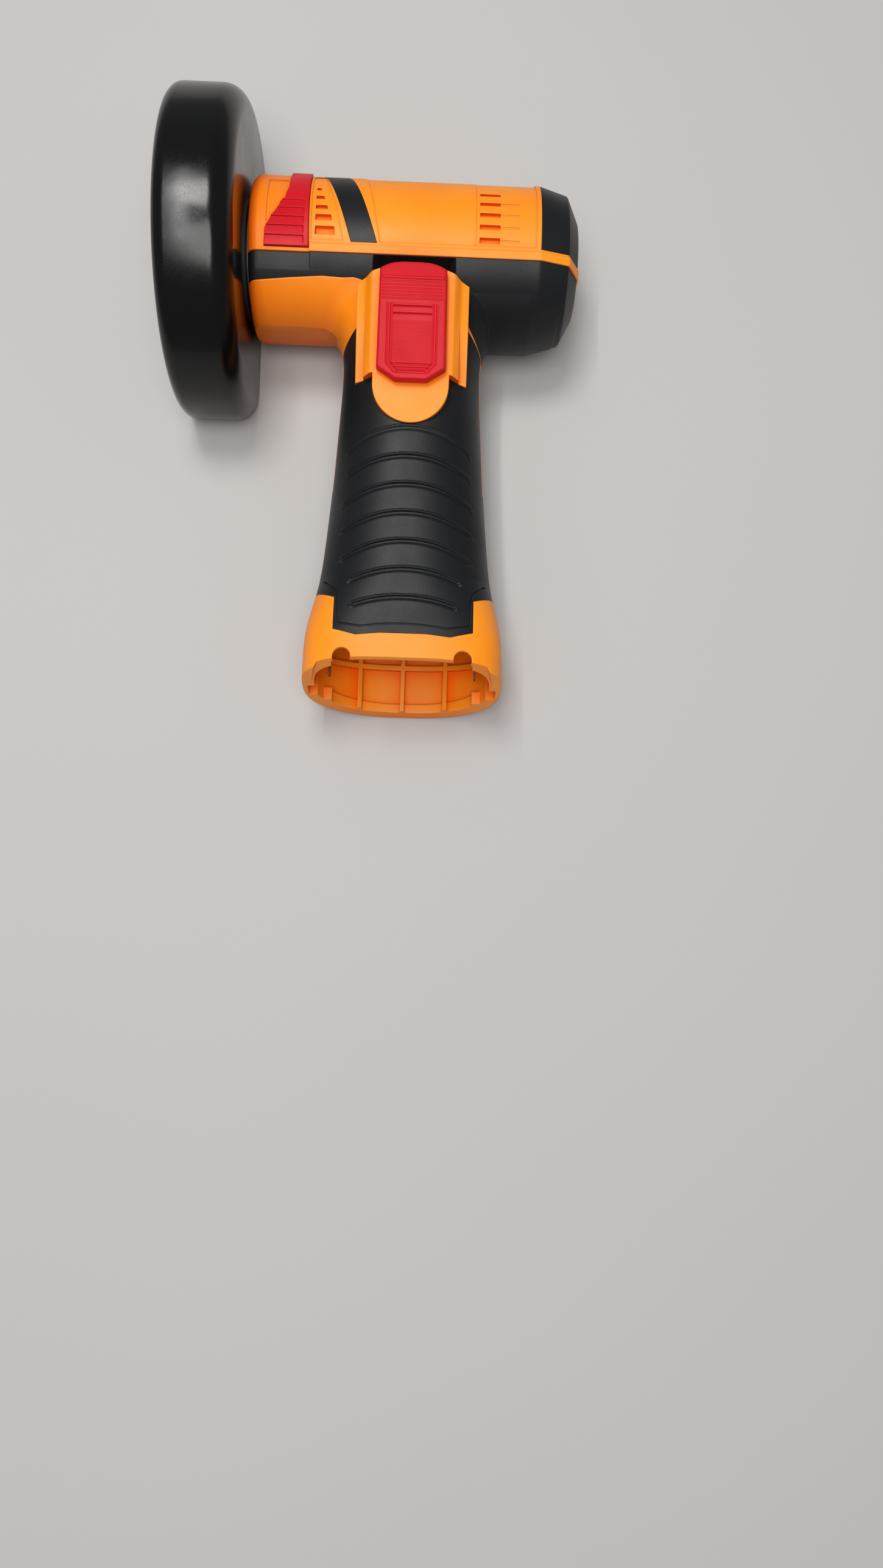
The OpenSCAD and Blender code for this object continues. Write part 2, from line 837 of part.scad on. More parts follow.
module switch_bracket() {
  color(grey)
    on_switch_plate()
      difference() {
        translate([-bracket_w / 2, -bracket_len / 2 + 1, bracket_top - bracket_t])
          cube([bracket_w, bracket_len, bracket_t]);
        for (p = bracket_posts_at) translate([p[0], p[1], bracket_top - 5]) cylinder(d = 2, h = 9);
      }
}

module bracket_screws() {
  color(steel)
    on_switch_plate()
      for (p = bracket_posts_at)
        translate([p[0], p[1], bracket_top]) {
          translate([0, 0, -bracket_t - 1.4]) cylinder(d = 3.4, h = 1.4);
          translate([0, 0, -bracket_t]) cylinder(d = bracket_screw_d, h = bracket_t + 5.5);
        }
}

// Spindle lock

// The button's curved cap, its lip behind the shell, and the pin that stops the spindle
module lock_button() {
  cap_r = barrel_r + lock_proud;
  lip_r = cavity_r - slide_gap;
  cap_x0 = handle_x + lock_x[0];
  cap_x1 = handle_x + lock_x[1];
  color(red)
    difference() {
      union() {
        difference() {
          union() {
            intersection() {
              translate([0, 0, 2 * lock_travel]) linear_extrude(far) lock_outline();
              rod(cap_x0 - 2, cap_x1 + 2, cap_r);
            }
            intersection() {
              translate([cap_x0 - lock_lip, lock_y[0] - lock_lip, 0])
                cube([cap_x1 - cap_x0 + 2 * lock_lip, lock_y[2] - lock_y[0], far]);
              rod(cap_x0 - 2, cap_x1 + 2, lip_r);
            }
          }
          rod(cap_x0 - 3, cap_x1 + 3, lip_r - 1);
        }
        translate([lock_pin_x, 0, pin_rest_r]) cylinder(d = lock_pin_d, h = lip_r - pin_rest_r - 0.4);
      }
      for (i = [1:5])
        rotate([18 - 5.4 * i, 0, 0]) translate([0, 0, cap_r]) rod(cap_x0 - 1, cap_x1 - 1, 0.4);
    }
}

// Coil spring round the lock pin, between the gear housing and the button
module lock_spring() {
  wire = 0.5;
  turns = 4;
  z0 = nose_r + wire / 2 + 0.1;
  z1 = cavity_r - 1.2 - wire / 2 - 0.1;
  r = lock_pin_d / 2 + 0.6;
  steps = 10 * turns;
  color(steel)
    tube([for (i = [0:steps]) [lock_pin_x + r * cos(36 * i), r * sin(36 * i), z0 + (z1 - z0) * i / steps]],
         wire, 6);
}

// Guard

// Rim section with round shoulders: radius against distance along the axis
function guard_profile(inset, x0, x1) =
  let (r = guard_d / 2 - inset, q = guard_round - inset)
  concat([[0, x0]], arc(r - q, x0 + q, q, 270, 360), arc(r - q, x1 - q, q, 0, 90), [[0, x1]]);

module guard() {
  color(black)
    difference() {
      along_x(0)
        rotate_extrude($fn = 128)
          difference() {
            polygon(guard_profile(0, guard_x0, guard_x1));
            polygon(guard_profile(guard_t, guard_x0 + guard_t, guard_x1 - guard_t));
            translate([0, guard_x0 - 1]) square([guard_d / 2 - guard_lip - guard_t, guard_w / 2]);
            translate([0, guard_x1 - guard_t - 1]) square([nose_r + run_gap, guard_t + 2]);
          }
      translate([-far / 2, -far / 2, -far - guard_cut]) cube(far);
    }
}

// Ring that holds the guard on the nose
module guard_ring() {
  color(steel)
    difference() {
      pipe(nose_x0 - guard_ring_t, nose_x0, nose_r + 3, flange_r - 1);
      for (a = guard_screw_turns)
        rotate([a, 0, 0]) translate([0, guard_screw_r, 0]) {
          rod(nose_x0 - 3, nose_x0 + 1, 1 + run_gap);
          along_x(nose_x0 - guard_ring_t - 0.01) cylinder(r1 = 1.9 + run_gap, r2 = 1 + run_gap, h = 1);
        }
    }
}

module guard_screws() {
  color(steel)
    for (a = guard_screw_turns)
      rotate([a, 0, 0]) translate([0, guard_screw_r, 0])
        union() {
          rod(nose_x0 - guard_ring_t + 0.9, nose_x0 + 4, 1 - seat_gap);
          along_x(nose_x0 - guard_ring_t) cylinder(r1 = 1.9, r2 = 1 - seat_gap, h = 0.95);
        }
}

// Gear housing

// Room for the layshaft, behind the motor axis
module gear_lobe(x0, x1, r) {
  translate([0, 0, -gear_c]) rod(x0, x1, r);
}

module gear_housing() {
  color(grey)
    difference() {
      union() {
        rod(nose_x0, gear_plate_x, nose_r);
        rod(guard_x1 + slide_gap, barrel_x0 + shell_t, shoulder_r);
        gear_lobe(block_x1 - 2, gear_plate_x, lobe_r + lobe_wall);
      }
      rod(block_x1, gear_plate_x + 1, cavity_main_r);
      gear_lobe(block_x1, gear_plate_x + 1, lobe_r);
      rod(nose_x0 - 1, gear_plate_x, bush_r - 1);
      rod(nose_x0 - 1, nose_x0 + bush_len, bush_r + seat_gap);
      rod(block_x1 - bush_len, block_x1 + 1, bush_r + seat_gap);
      translate([0, 0, -gear_c]) rod(block_x1 - 1.5, block_x1 + 1, lay_pin_d / 2 + seat_gap);
      translate([lock_pin_x, 0, 0]) cylinder(d = lock_pin_d + 2 * run_gap, h = far);
      for (a = guard_screw_turns)
        rotate([a, 0, 0]) translate([0, guard_screw_r, 0]) rod(nose_x0 - 1, nose_x0 + 4.5, 1);
      for (s = [-1, 1])
        translate([0, s * housing_ear, 0]) rod(gear_plate_x - 5, gear_plate_x + 1, 0.8);
    }
}

// Plate between the gears and the motor
module gear_plate() {
  color(grey)
    difference() {
      union() {
        rod(gear_plate_x, motor_x0, nose_r);
        gear_lobe(gear_plate_x, motor_x0, lobe_r + lobe_wall);
      }
      rod(gear_plate_x - 1, motor_x0 + 1, motor_boss_r + seat_gap);
      translate([0, 0, -gear_c]) rod(gear_plate_x - 1, gear_plate_x + 2, lay_pin_d / 2 + seat_gap);
      for (s = [-1, 1]) {
        translate([0, s * motor_screw_pitch / 2, 0]) rod(gear_plate_x - 1, motor_x0 + 1, 1.25 + run_gap);
        translate([0, s * housing_ear, 0]) {
          rod(gear_plate_x - 1, motor_x0 + 1, 0.85);
          rod(motor_x0 - 1.4, motor_x0 + 1, 1.6);
        }
      }
    }
}

module bush(x) {
  pipe(x, x + bush_len - 0.1, bush_r, spindle_d / 2 + run_gap);
}

module front_bush() {
  color(brass) bush(nose_x0 + 0.1);
}

module rear_bush() {
  color(brass) bush(block_x1 - bush_len);
}

// Spindle with the notched ring that the lock pin drops into
module spindle() {
  notch = lock_pin_d + 0.8;
  color(steel)
    difference() {
      union() {
        rod(-boss_len, lock_ring_x, spindle_d / 2);
        rod(lock_ring_x, lock_ring_x + lock_ring_w, lock_ring_r);
        rod(lock_ring_x, gear2_x + gear_w, tail_d / 2);
      }
      rod(-boss_len - 1, 9, clamp_d / 2 + seat_gap);
      for (a = [0:90:270])
        rotate([a, 0, 0])
          translate([lock_ring_x - 0.01, -notch / 2, lock_ring_r - 1.6]) cube([lock_ring_w + 0.02, notch, 3]);
    }
}

module gear(teeth, x, bore_r, turn = 0, width = gear_w) {
  along_x(x)
    rotate([0, 0, turn])
      difference() {
        linear_extrude(width) polygon(gear_outline(teeth));
        translate([0, 0, -1]) cylinder(r = bore_r, h = width + 2);
      }
}

module spindle_gear() {
  color(brass) gear(spindle_teeth, gear2_x, tail_d / 2 + seat_gap);
}

module layshaft() {
  color(steel) translate([0, 0, -gear_c]) rod(block_x1 - 1.4, gear_plate_x + 1.9, lay_pin_d / 2);
}

// Both layshaft gears in one moulding, each with a gap towards the motor axis
module layshaft_gear() {
  bore = lay_pin_d / 2 + run_gap;
  color("ivory")
    translate([0, 0, -gear_c])
      union() {
        gear(lay_small_teeth, gear2_x, bore, gap_turn(lay_small_teeth), gear_w + 0.5);
        gear(lay_big_teeth, gear1_x + 0.5, bore, gap_turn(lay_big_teeth), gear_w - 1);
        pipe(gear2_x + gear_w, gear1_x + 1, gear_m * lay_small_teeth / 2 - dedendum, bore);
      }
}

module inner_flange() {
  color(steel)
    difference() {
      union() {
        rod(0, inner_flange_t, flange_r);
        rod(-boss_len, 0, flange_boss_d / 2);
      }
      rod(-boss_len - 1, inner_flange_t + 1, spindle_d / 2 + seat_gap);
    }
}

// Outer flange, hollowed to go over the inner flange's boss
module outer_flange() {
  color(steel)
    difference() {
      pipe(-outer_flange_t, 0, flange_r, clamp_d / 2 + seat_gap);
      rod(-boss_len - 0.1, 1, flange_boss_d / 2 + run_gap);
    }
}

module clamp_screw() {
  head_x = -outer_flange_t;
  color(steel)
    difference() {
      union() {
        rod(head_x - 3, head_x, 3.8);
        rod(head_x, 8, clamp_d / 2);
      }
      along_x(head_x - 4) cylinder(r = 1.7, h = 3, $fn = 6);
    }
}

// Motor

module motor_can() {
  color(steel)
    difference() {
      union() {
        rod(motor_x0, motor_x1, motor_r);
        rod(gear_plate_x + 0.2, motor_x0, motor_boss_r);
      }
      rod(motor_x0 + can_t, motor_x1 + 1, motor_r - can_t);
      rod(gear_plate_x - 1, motor_x0 + 2, 3);
      for (s = [-1, 1])
        translate([0, s * motor_screw_pitch / 2, 0]) rod(motor_x0 - 1, motor_x0 + 2, 1.25);
    }
}

module motor_magnets() {
  r = motor_r - can_t - seat_gap;
  color([0.3, 0.3, 0.32])
    for (s = [-1, 1])
      intersection() {
        pipe(magnet_x[0], magnet_x[1], r, r - magnet_t);
        translate([motor_x0, s > 0 ? 3 : -far - 3, -far / 2]) cube([motor_len, far, far]);
      }
}

module motor_bush() {
  color(brass) pipe(gear_plate_x + 0.2, motor_x0 + can_t, 3 - seat_gap, motor_shaft_d / 2 + run_gap);
}

module motor_end_bell() {
  color(black)
    difference() {
      union() {
        rod(motor_x1, motor_x1 + bell_t, motor_r);
        rod(motor_x1 - 2, motor_x1, motor_r - can_t - seat_gap);
      }
      rod(motor_x1 - 3, motor_x1 + bell_t - 1, motor_shaft_d / 2 + run_gap);
      pipe(motor_x1 - 3, motor_x1 - 0.6, motor_r - 3, 4);
      for (s = [-1, 1])
        translate([motor_x1 - 2, s * terminal_y - 0.3 - seat_gap, -1.2 - seat_gap])
          cube([bell_t + 4, 0.6 + 2 * seat_gap, 2.4 + 2 * seat_gap]);
    }
}

// Two carbon brushes on blades that reach out through the end bell as terminals
module motor_brushes() {
  color(brass)
    for (s = [-1, 1])
      mirror([0, s < 0 ? 1 : 0, 0])
        union() {
          translate([motor_x1 - 7, commutator_r + run_gap, -1.2]) cube([3, terminal_y - commutator_r, 2.4]);
          translate([motor_x1 - 5, terminal_y - 0.3, -1.2]) cube([bell_t + 5 + terminal_len, 0.6, 2.4]);
        }
}

module armature() {
  r = motor_r - can_t - magnet_t - 0.5;
  color([0.5, 0.3, 0.15])
    difference() {
      rod(magnet_x[0] + armature_gap, magnet_x[1] - armature_gap, r);
      rod(motor_x0, motor_x1, motor_shaft_d / 2 + seat_gap);
      for (a = [0, 120, 240])
        rotate([a, 0, 0]) translate([motor_x0, 3, -2.4]) cube([motor_len, r, 4.8]);
    }
}

module motor_shaft() {
  color(steel) rod(gear1_x - 0.2, motor_x1 + bell_t - 1.4, motor_shaft_d / 2);
}

module commutator() {
  color(brass) pipe(motor_x1 - 8, motor_x1 - 3.4, commutator_r, motor_shaft_d / 2 + seat_gap);
}

module motor_pinion() {
  color(brass) gear(pinion_teeth, gear1_x - 0.2, motor_shaft_d / 2 + seat_gap);
}

module motor_screws() {
  color(steel)
    for (s = [-1, 1])
      translate([0, s * motor_screw_pitch / 2, 0])
        union() {
          rod(gear_plate_x - 1.4, gear_plate_x, 2.1);
          rod(gear_plate_x, motor_x0 + can_t, 1.25 - seat_gap);
        }
}

// Screws that hold the plate to the gear housing, their heads sunk under the motor
module gearbox_screws() {
  color(steel)
    for (s = [-1, 1])
      translate([0, s * housing_ear, 0])
        union() {
          rod(motor_x0 - 1.4, motor_x0 - 0.1, 1.5);
          rod(gear_plate_x - 4.6, motor_x0 - 1.4, 0.8 - seat_gap);
        }
}

module housing_screws() {
  color(steel)
    for (p = housing_screw_places)
      translate([p[0], p[1], -screw_seat(p)])
        union() {
          cylinder(d = screw_d - 2 * seat_gap, h = screw_seat(p) + screw_grip);
          translate([0, 0, -1.6]) cylinder(d = screw_head_d, h = 1.6);
        }
}

// Battery bay

module contact_carrier() {
  t = 2;
  color(black)
    moulded()
      difference() {
        intersection() {
          handle_core(wall + seat_gap);
          translate([-far / 2, bay_roof_y, -far / 2]) cube([2 * far, t, far]);
        }
        for (x = [-1, 1])
          translate([handle_x + x * contact_x - contact_w / 2 - seat_gap, bay_roof_y - 1,
                     -contact_t / 2 - seat_gap])
            cube([contact_w + 2 * seat_gap, t + 2, contact_t + 2 * seat_gap]);
      }
}

module battery_contacts() {
  color(brass)
    for (x = [-1, 1])
      translate([handle_x + x * contact_x - contact_w / 2, bay_roof_y - contact_reach, -contact_t / 2])
        cube([contact_w, contact_len, contact_t]);
}

// Bent leaf beside a latch slot, held against the base's side wall
module latch_spring(side) {
  leaf = 0.5;
  bend = 2.4;
  outer = [for (y = [15 - handle_len, 9 - handle_len]) [at(y, 1) - wall - 0.9, y]];
  tip = [[outer[1][0] - bend, 6 - handle_len], [outer[1][0] - bend, 2.5 - handle_len]];
  face = concat(outer, tip);
  color(brass)
    translate([handle_x, 0, -4])
      linear_extrude(4)
        polygon([for (p = concat(face, [for (i = [3:-1:0]) face[i] - [leaf, 0]])) [side * p[0], p[1]]]);
}

module left_latch_spring() {
  latch_spring(-1);
}

module right_latch_spring() {
  latch_spring(1);
}

// Leads

module battery_lead() {
  color(red) tube(battery_lead_route, lead_d);
}

module motor_lead() {
  color(red) tube(motor_lead_route, lead_d);
}

module return_lead() {
  color(black) tube(return_lead_route, lead_d);
}

front_shell();
back_shell();
front_handle_grip();
back_handle_grip();
front_barrel_grip();
back_barrel_grip();
front_band();
back_band();
front_rear_pad();
back_rear_pad();
switch_slider();
switch_knob();
slide_switch();
switch_bracket();
bracket_screws();
lock_button();
lock_spring();
guard();
guard_ring();
guard_screws();
gear_housing();
gear_plate();
front_bush();
rear_bush();
spindle();
spindle_gear();
layshaft();
layshaft_gear();
inner_flange();
outer_flange();
clamp_screw();
motor_can();
motor_magnets();
motor_bush();
motor_end_bell();
motor_brushes();
armature();
motor_shaft();
commutator();
motor_pinion();
motor_screws();
gearbox_screws();
housing_screws();
contact_carrier();
battery_contacts();
left_latch_spring();
right_latch_spring();
battery_lead();
motor_lead();
return_lead();
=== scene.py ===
"""Looks of a toy cordless angle grinder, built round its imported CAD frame.

X runs along the motor axis, the handle along -Y, and +Z out of the face with the switch.
Sizes are in millimetres here, and the meshes are made in metres.
"""

import math

import bmesh
import bpy
import numpy as np
from mathutils import Matrix, Vector


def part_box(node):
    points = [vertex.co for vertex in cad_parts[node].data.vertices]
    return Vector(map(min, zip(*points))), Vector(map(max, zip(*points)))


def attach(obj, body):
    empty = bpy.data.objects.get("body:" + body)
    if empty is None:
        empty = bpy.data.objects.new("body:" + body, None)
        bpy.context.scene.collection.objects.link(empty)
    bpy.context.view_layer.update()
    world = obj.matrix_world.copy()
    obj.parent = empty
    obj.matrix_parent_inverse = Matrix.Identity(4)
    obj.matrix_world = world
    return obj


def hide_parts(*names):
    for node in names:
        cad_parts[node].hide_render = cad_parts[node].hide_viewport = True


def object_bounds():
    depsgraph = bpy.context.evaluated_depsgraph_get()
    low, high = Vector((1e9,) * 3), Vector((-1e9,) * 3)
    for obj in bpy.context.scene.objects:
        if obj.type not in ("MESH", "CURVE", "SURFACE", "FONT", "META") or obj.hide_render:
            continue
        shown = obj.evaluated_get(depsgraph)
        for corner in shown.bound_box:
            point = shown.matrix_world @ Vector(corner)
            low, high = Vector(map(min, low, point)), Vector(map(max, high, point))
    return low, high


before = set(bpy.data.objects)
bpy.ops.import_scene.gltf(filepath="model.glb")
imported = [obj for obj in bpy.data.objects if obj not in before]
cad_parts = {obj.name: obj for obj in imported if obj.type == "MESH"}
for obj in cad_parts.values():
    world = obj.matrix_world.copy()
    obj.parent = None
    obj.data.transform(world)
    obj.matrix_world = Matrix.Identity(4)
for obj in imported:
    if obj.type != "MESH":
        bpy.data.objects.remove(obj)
cad_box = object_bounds()

MM = 0.001
FAR = 200.0


def box_mm(node):
    """Lowest and highest corner of a CAD node, in millimetres."""
    low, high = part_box(node)
    return np.array(low) / MM, np.array(high) / MM


# Main sizes, read from the frame
shell_low, shell_high = box_mm("back_shell")
guard_low, guard_high = box_mm("guard")
BARREL_X0, BARREL_X1 = shell_low[0], shell_high[0]
BARREL_LEN = BARREL_X1 - BARREL_X0
BARREL_R = shell_high[1]
HANDLE_X = (BARREL_X0 + BARREL_X1) / 2
GUARD_X0, GUARD_X1 = guard_low[0], guard_high[0]
GUARD_R = guard_high[2]
FLOOR_Z = cad_box[0].z

# Barrel
PAD_T = 1.2
WALL = 3.2
CAVITY_R = BARREL_R - WALL
TAPER_LEN = 10.9
TAPER_DROP = 2.2
BEVEL = 3.2
SWELL = 2.6
SHOULDER_R = 15.6

# Handle
NECK_W, GRIP_W, BASE_W = 37.6, 41.0, 53.8
HANDLE_LEN = 119.0
BASE_SLANT, WALLS_SLANT = 18.5, 12.5
RIM_REACH, WALLS_SHORT = 1.5, 1.2
RIM_T, RIM_HALF, RIM_TOP_Y = 1.5, 18.5, -109.6
FRONT_DEPTH = 19.6
BACK_DEPTH = BARREL_R - 0.4
FILLET_W = 11.0
SECTION_POWER, BASE_POWER = 2.35, 3.4
HANDLE_TABLE = np.array([
    [6, NECK_W / 2 + FILLET_W, FRONT_DEPTH - 2.6, BACK_DEPTH - 4.5],
    [-12, NECK_W / 2 + FILLET_W - 0.8, FRONT_DEPTH - 2, BACK_DEPTH - 4.2],
    [-17, NECK_W / 2 + 5.6, FRONT_DEPTH - 0.8, BACK_DEPTH - 3.6],
    [-22, NECK_W / 2 + 1.8, FRONT_DEPTH, BACK_DEPTH - 3.2],
    [-28, NECK_W / 2 + 0.2, FRONT_DEPTH + 0.3, BACK_DEPTH - 2.9],
    [-36, NECK_W / 2, FRONT_DEPTH + 0.2, BACK_DEPTH - 2.8],
    [-50, (NECK_W + GRIP_W) / 4, FRONT_DEPTH - 0.3, BACK_DEPTH - 2.5],
    [-64, GRIP_W / 2, FRONT_DEPTH - 1, BACK_DEPTH - 2.3],
    [-78, GRIP_W / 2 + 1.2, FRONT_DEPTH - 1.8, BACK_DEPTH - 2],
    [-90, GRIP_W / 2 + 2.4, FRONT_DEPTH - 2.3, BACK_DEPTH - 1.5],
    [-97, BASE_W / 2 - 2.6, FRONT_DEPTH - 2.3, BACK_DEPTH - 1],
    [-104, BASE_W / 2 - 0.7, FRONT_DEPTH - 2.1, BACK_DEPTH - 0.5],
    [-111, BASE_W / 2, FRONT_DEPTH - 2, BACK_DEPTH - 0.2],
    [-148, BASE_W / 2, FRONT_DEPTH - 2, BACK_DEPTH],
])
RING_STEP, FORM_TOP_Y, FORM_END_Y = 1.4, 1.0, -141.0
RIBBED_Y = (-50.0, -113.0)
BAY_ROOF_Y = -78.0
BAY_RIB_X, BAY_RIB_W, BAY_RIB_H = 12.0, 1.2, 2.2
BAY_LIP_H, BAY_LIP_W = 0.8, 3.2
BAY_LIP_Z, BAY_CORNER_Z = -8.5, -13.0
SHELL_LAP = 0.3
SIDE_LINE_Z = 4.5
SIDE_LINE_Y = (-31.0, -67.0, -95.0)

# Switch plate
SWITCH_Y, SWITCH_Z = -28.0, FRONT_DEPTH + 2.7
SWITCH_TILT = 5.5
SLIDER_W, SLIDER_LEN, SLIDER_T = 17.4, 29.5, 2.8
SLIDER_TOP = 15.0
SLIDER_CROWN = 2.0
SLIDER_OVER = 0.8
SLIDER_TRAVEL = 3.0
SLIDE_GAP = 0.3
PLATE_HALF = SLIDER_W / 2 + 2.8
FRAME_HALF = PLATE_HALF + 3.2
TONGUE_R, TONGUE_Y = 10.0, -15.0
POCKET_LEVELS = ((14.0, 8.6), (17.8, 9.3), (24.0, 13.4))
POCKET_FLARE, POCKET_LOW_Y = 2.6, -15.0

# Trim on the barrel, measured from the handle's middle and the motor axis
STRIPE_Y = -7.7
STRIPE_W = 1.9
STRIP_LOW_Y = -14.3
PAD_EDGE_Y = STRIPE_Y + 2.6
PANEL_LOW_Y = STRIPE_Y + 2.9
BAND_X = (-18.5, -11.6)
BAND_TWIST = -0.12
REAR_PAD_X = BARREL_LEN / 2 - TAPER_LEN
LOCK_X = (-39.6, -28.0)
LOCK_Y = (-6.8, 18.4)
LOCK_GAP = 0.12
SHINGLE_TOP, SHINGLE_PITCH = 5.5, 2.42

# Solids

tools = []


def make(name, points, faces, tool=True):
    """A mesh object from points in millimetres, with its faces turned outwards."""
    mesh = bpy.data.meshes.new(name)
    mesh.from_pydata([tuple(p) for p in np.asarray(points, float) * MM], [], faces)
    bm = bmesh.new()
    bm.from_mesh(mesh)
    bmesh.ops.recalc_face_normals(bm, faces=bm.faces)
    bm.to_mesh(mesh)
    bm.free()
    obj = bpy.data.objects.new(name, mesh)
    bpy.context.scene.collection.objects.link(obj)
    if tool:
        tools.append(obj)
    return obj


def loft(name, rings, closed=False):
    """A solid through rings of points; a closed loft joins its last ring to its first."""
    count, n = len(rings), len(rings[0])
    points = np.concatenate(rings)
    spans = count if closed else count - 1
    faces = [
        (j * n + i, j * n + (i + 1) % n, ((j + 1) % count) * n + (i + 1) % n, ((j + 1) % count) * n + i)
        for j in range(spans)
        for i in range(n)
    ]
    if not closed:
        faces += [tuple(range(n)), tuple(range((count - 1) * n, count * n))]
    return make(name, points, faces)


def prism(name, outline, z0, z1, place=None):
    """A prism of an outline in the XY plane."""
    outline = np.asarray(outline, float)
    rings = [np.column_stack([outline, np.full(len(outline), z)]) for z in (z0, z1)]
    obj = loft(name, rings)
    if place is not None:
        obj.data.transform(place)
    return obj


def view_prism(name, outline, side):
    """A front view, measured from the handle's middle, extruded through one half."""
    shifted = [(HANDLE_X + x, y) for x, y in outline]
    return prism(name, shifted, *((0, FAR) if side > 0 else (-FAR, 0)))


def side_prism(name, outline):
    """An outline in x and z, from the handle's middle, extruded through the barrel's lower side."""
    return prism(name, [(HANDLE_X + x, z) for x, z in outline], 0, BARREL_R + 1, ALONG_Y)


def block(name, low, high, place=None):
    """A box between two corners."""
    return prism(name, [(low[0], low[1]), (high[0], low[1]), (high[0], high[1]), (low[0], high[1])],
                 low[2], high[2], place)


def revolve(name, profile, segments, closed=False):
    """A solid turned about the motor axis from (x, radius) points; radii stay above zero."""
    turn = np.linspace(0, 2 * math.pi, segments, endpoint=False)
    rings = [
        np.column_stack([np.full(segments, x), r * np.cos(turn), r * np.sin(turn)]) for x, r in profile
    ]
    return loft(name, rings, closed)


def rod(name, x0, x1, r, segments=72):
    """A cylinder on the motor axis."""
    return revolve(name, [(x0, r), (x1, r)], segments)


def post(name, x, y, z0, z1, r, segments=40):
    """A cylinder along Z."""
    turn = np.linspace(0, 2 * math.pi, segments, endpoint=False)
    return prism(name, np.column_stack([x + r * np.cos(turn), y + r * np.sin(turn)]), z0, z1)


def relief(name, xs, ys, height, floor, bend=None):
    """A solid over a grid whose top follows height(x, y); bend then moves its points."""
    nx, ny = len(xs), len(ys)
    x, y = np.meshgrid(xs, ys)
    top = np.column_stack([x.ravel(), y.ravel(), height(x, y).ravel()])
    index = np.arange(nx * ny).reshape(ny, nx)
    corners = (index[:-1, :-1], index[:-1, 1:], index[1:, 1:], index[1:, :-1])
    faces = np.column_stack([corner.ravel() for corner in corners]).tolist()
    rim = np.concatenate([index[0, :-1], index[:-1, -1], index[-1, :0:-1], index[:0:-1, 0]])
    low = top[rim]
    low[:, 2] = floor
    after = np.roll(np.arange(len(rim)), -1)
    base = nx * ny
    faces += np.column_stack([rim, rim[after], base + after, base + np.arange(len(rim))]).tolist()
    faces.append([base + i for i in range(len(rim))])
    points = np.vstack([top, low])
    return make(name, points if bend is None else bend(points), faces)


def copy_of(obj, name):
    """A second solid of the same form."""
    twin = bpy.data.objects.new(name, obj.data.copy())
    bpy.context.scene.collection.objects.link(twin)
    tools.append(twin)
    return twin


def csg(base, *steps):
    """Joins, cuts or intersects a solid with others, in order."""
    for operation, other in steps:
        change = base.modifiers.new("change", "BOOLEAN")
        change.operation = operation
        change.object = other
        change.solver = "MANIFOLD"
    graph = bpy.context.evaluated_depsgraph_get()
    mesh = bpy.data.meshes.new_from_object(base.evaluated_get(graph))
    base.modifiers.clear()
    base.data = mesh
    return base


def join(base, *others):
    return csg(base, *[("UNION", o) for o in others])


def cut(base, *others):
    return csg(base, *[("DIFFERENCE", o) for o in others])


def common(base, *others):
    return csg(base, *[("INTERSECT", o) for o in others])


def finish_piece(obj, name, material, node, body="casing", sharp=32):
    """Shades a made solid, gives it its material, and lets it stand for its CAD node."""
    tools.remove(obj)
    obj.name = name
    obj.data.name = name
    obj.data.materials.clear()
    obj.data.materials.append(material)
    obj.data.polygons.foreach_set("material_index", [0] * len(obj.data.polygons))
    obj.data.shade_smooth()
    obj.data.set_sharp_from_angle(angle=math.radians(sharp))
    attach(obj, body)
    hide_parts(node)
    return obj


def rounded(points, radii, steps=6):
    """A polyline with its inner corners turned into arcs."""
    points = [np.array(p, float) for p in points]
    out = [points[0]]
    for before, at, after, radius in zip(points, points[1:], points[2:], radii):
        a, b = before - at, after - at
        la, lb = np.linalg.norm(a), np.linalg.norm(b)
        a, b = a / la, b / lb
        half = math.acos(np.clip(a @ b, -1, 1)) / 2
        reach = min(radius / math.tan(half), la * 0.49, lb * 0.49) if half < math.pi / 2 - 1e-4 else 0
        if reach < 1e-3:
            out.append(at)
            continue
        r = reach * math.tan(half)
        middle = at + (a + b) / np.linalg.norm(a + b) * r / math.sin(half)
        start, end = at + a * reach - middle, at + b * reach - middle
        sweep = math.atan2(start[0] * end[1] - start[1] * end[0], start @ end)
        for i in range(steps + 1):
            t = sweep * i / steps
            c, s = math.cos(t), math.sin(t)
            out.append(middle + np.array([c * start[0] - s * start[1], s * start[0] + c * start[1]]))
    out.append(points[-1])
    return out


def arc(x, y, r, a0, a1, n):
    """Points along an arc between two angles."""
    turn = np.radians(np.linspace(a0, a1, n + 1))
    return list(zip(x + r * np.cos(turn), y + r * np.sin(turn)))


def inset_outline(outline, distance):
    """An outline moved inwards by a distance, with mitred corners."""
    p = np.asarray(outline, float)
    area = np.sum(p[:, 0] * np.roll(p[:, 1], -1) - np.roll(p[:, 0], -1) * p[:, 1])
    side = 1 if area > 0 else -1
    along = np.roll(p, -1, 0) - p
    along /= np.linalg.norm(along, axis=1)[:, None]
    normal = side * np.column_stack([-along[:, 1], along[:, 0]])
    before = np.roll(normal, 1, 0)
    mitre = before + normal
    mitre /= (1 + np.sum(before * normal, axis=1))[:, None]
    return p + distance * mitre


def depth_inside(outline, x, y):
    """How far points lie inside a convex outline."""
    p = np.asarray(outline, float)
    q = np.roll(p, -1, 0)
    side = np.sign(np.sum(p[:, 0] * q[:, 1] - q[:, 0] * p[:, 1]))
    depth = np.full_like(x, FAR)
    for a, b in zip(p, q):
        along = (b - a) / np.linalg.norm(b - a)
        depth = np.minimum(depth, side * ((y - a[1]) * along[0] - (x - a[0]) * along[1]))
    return depth


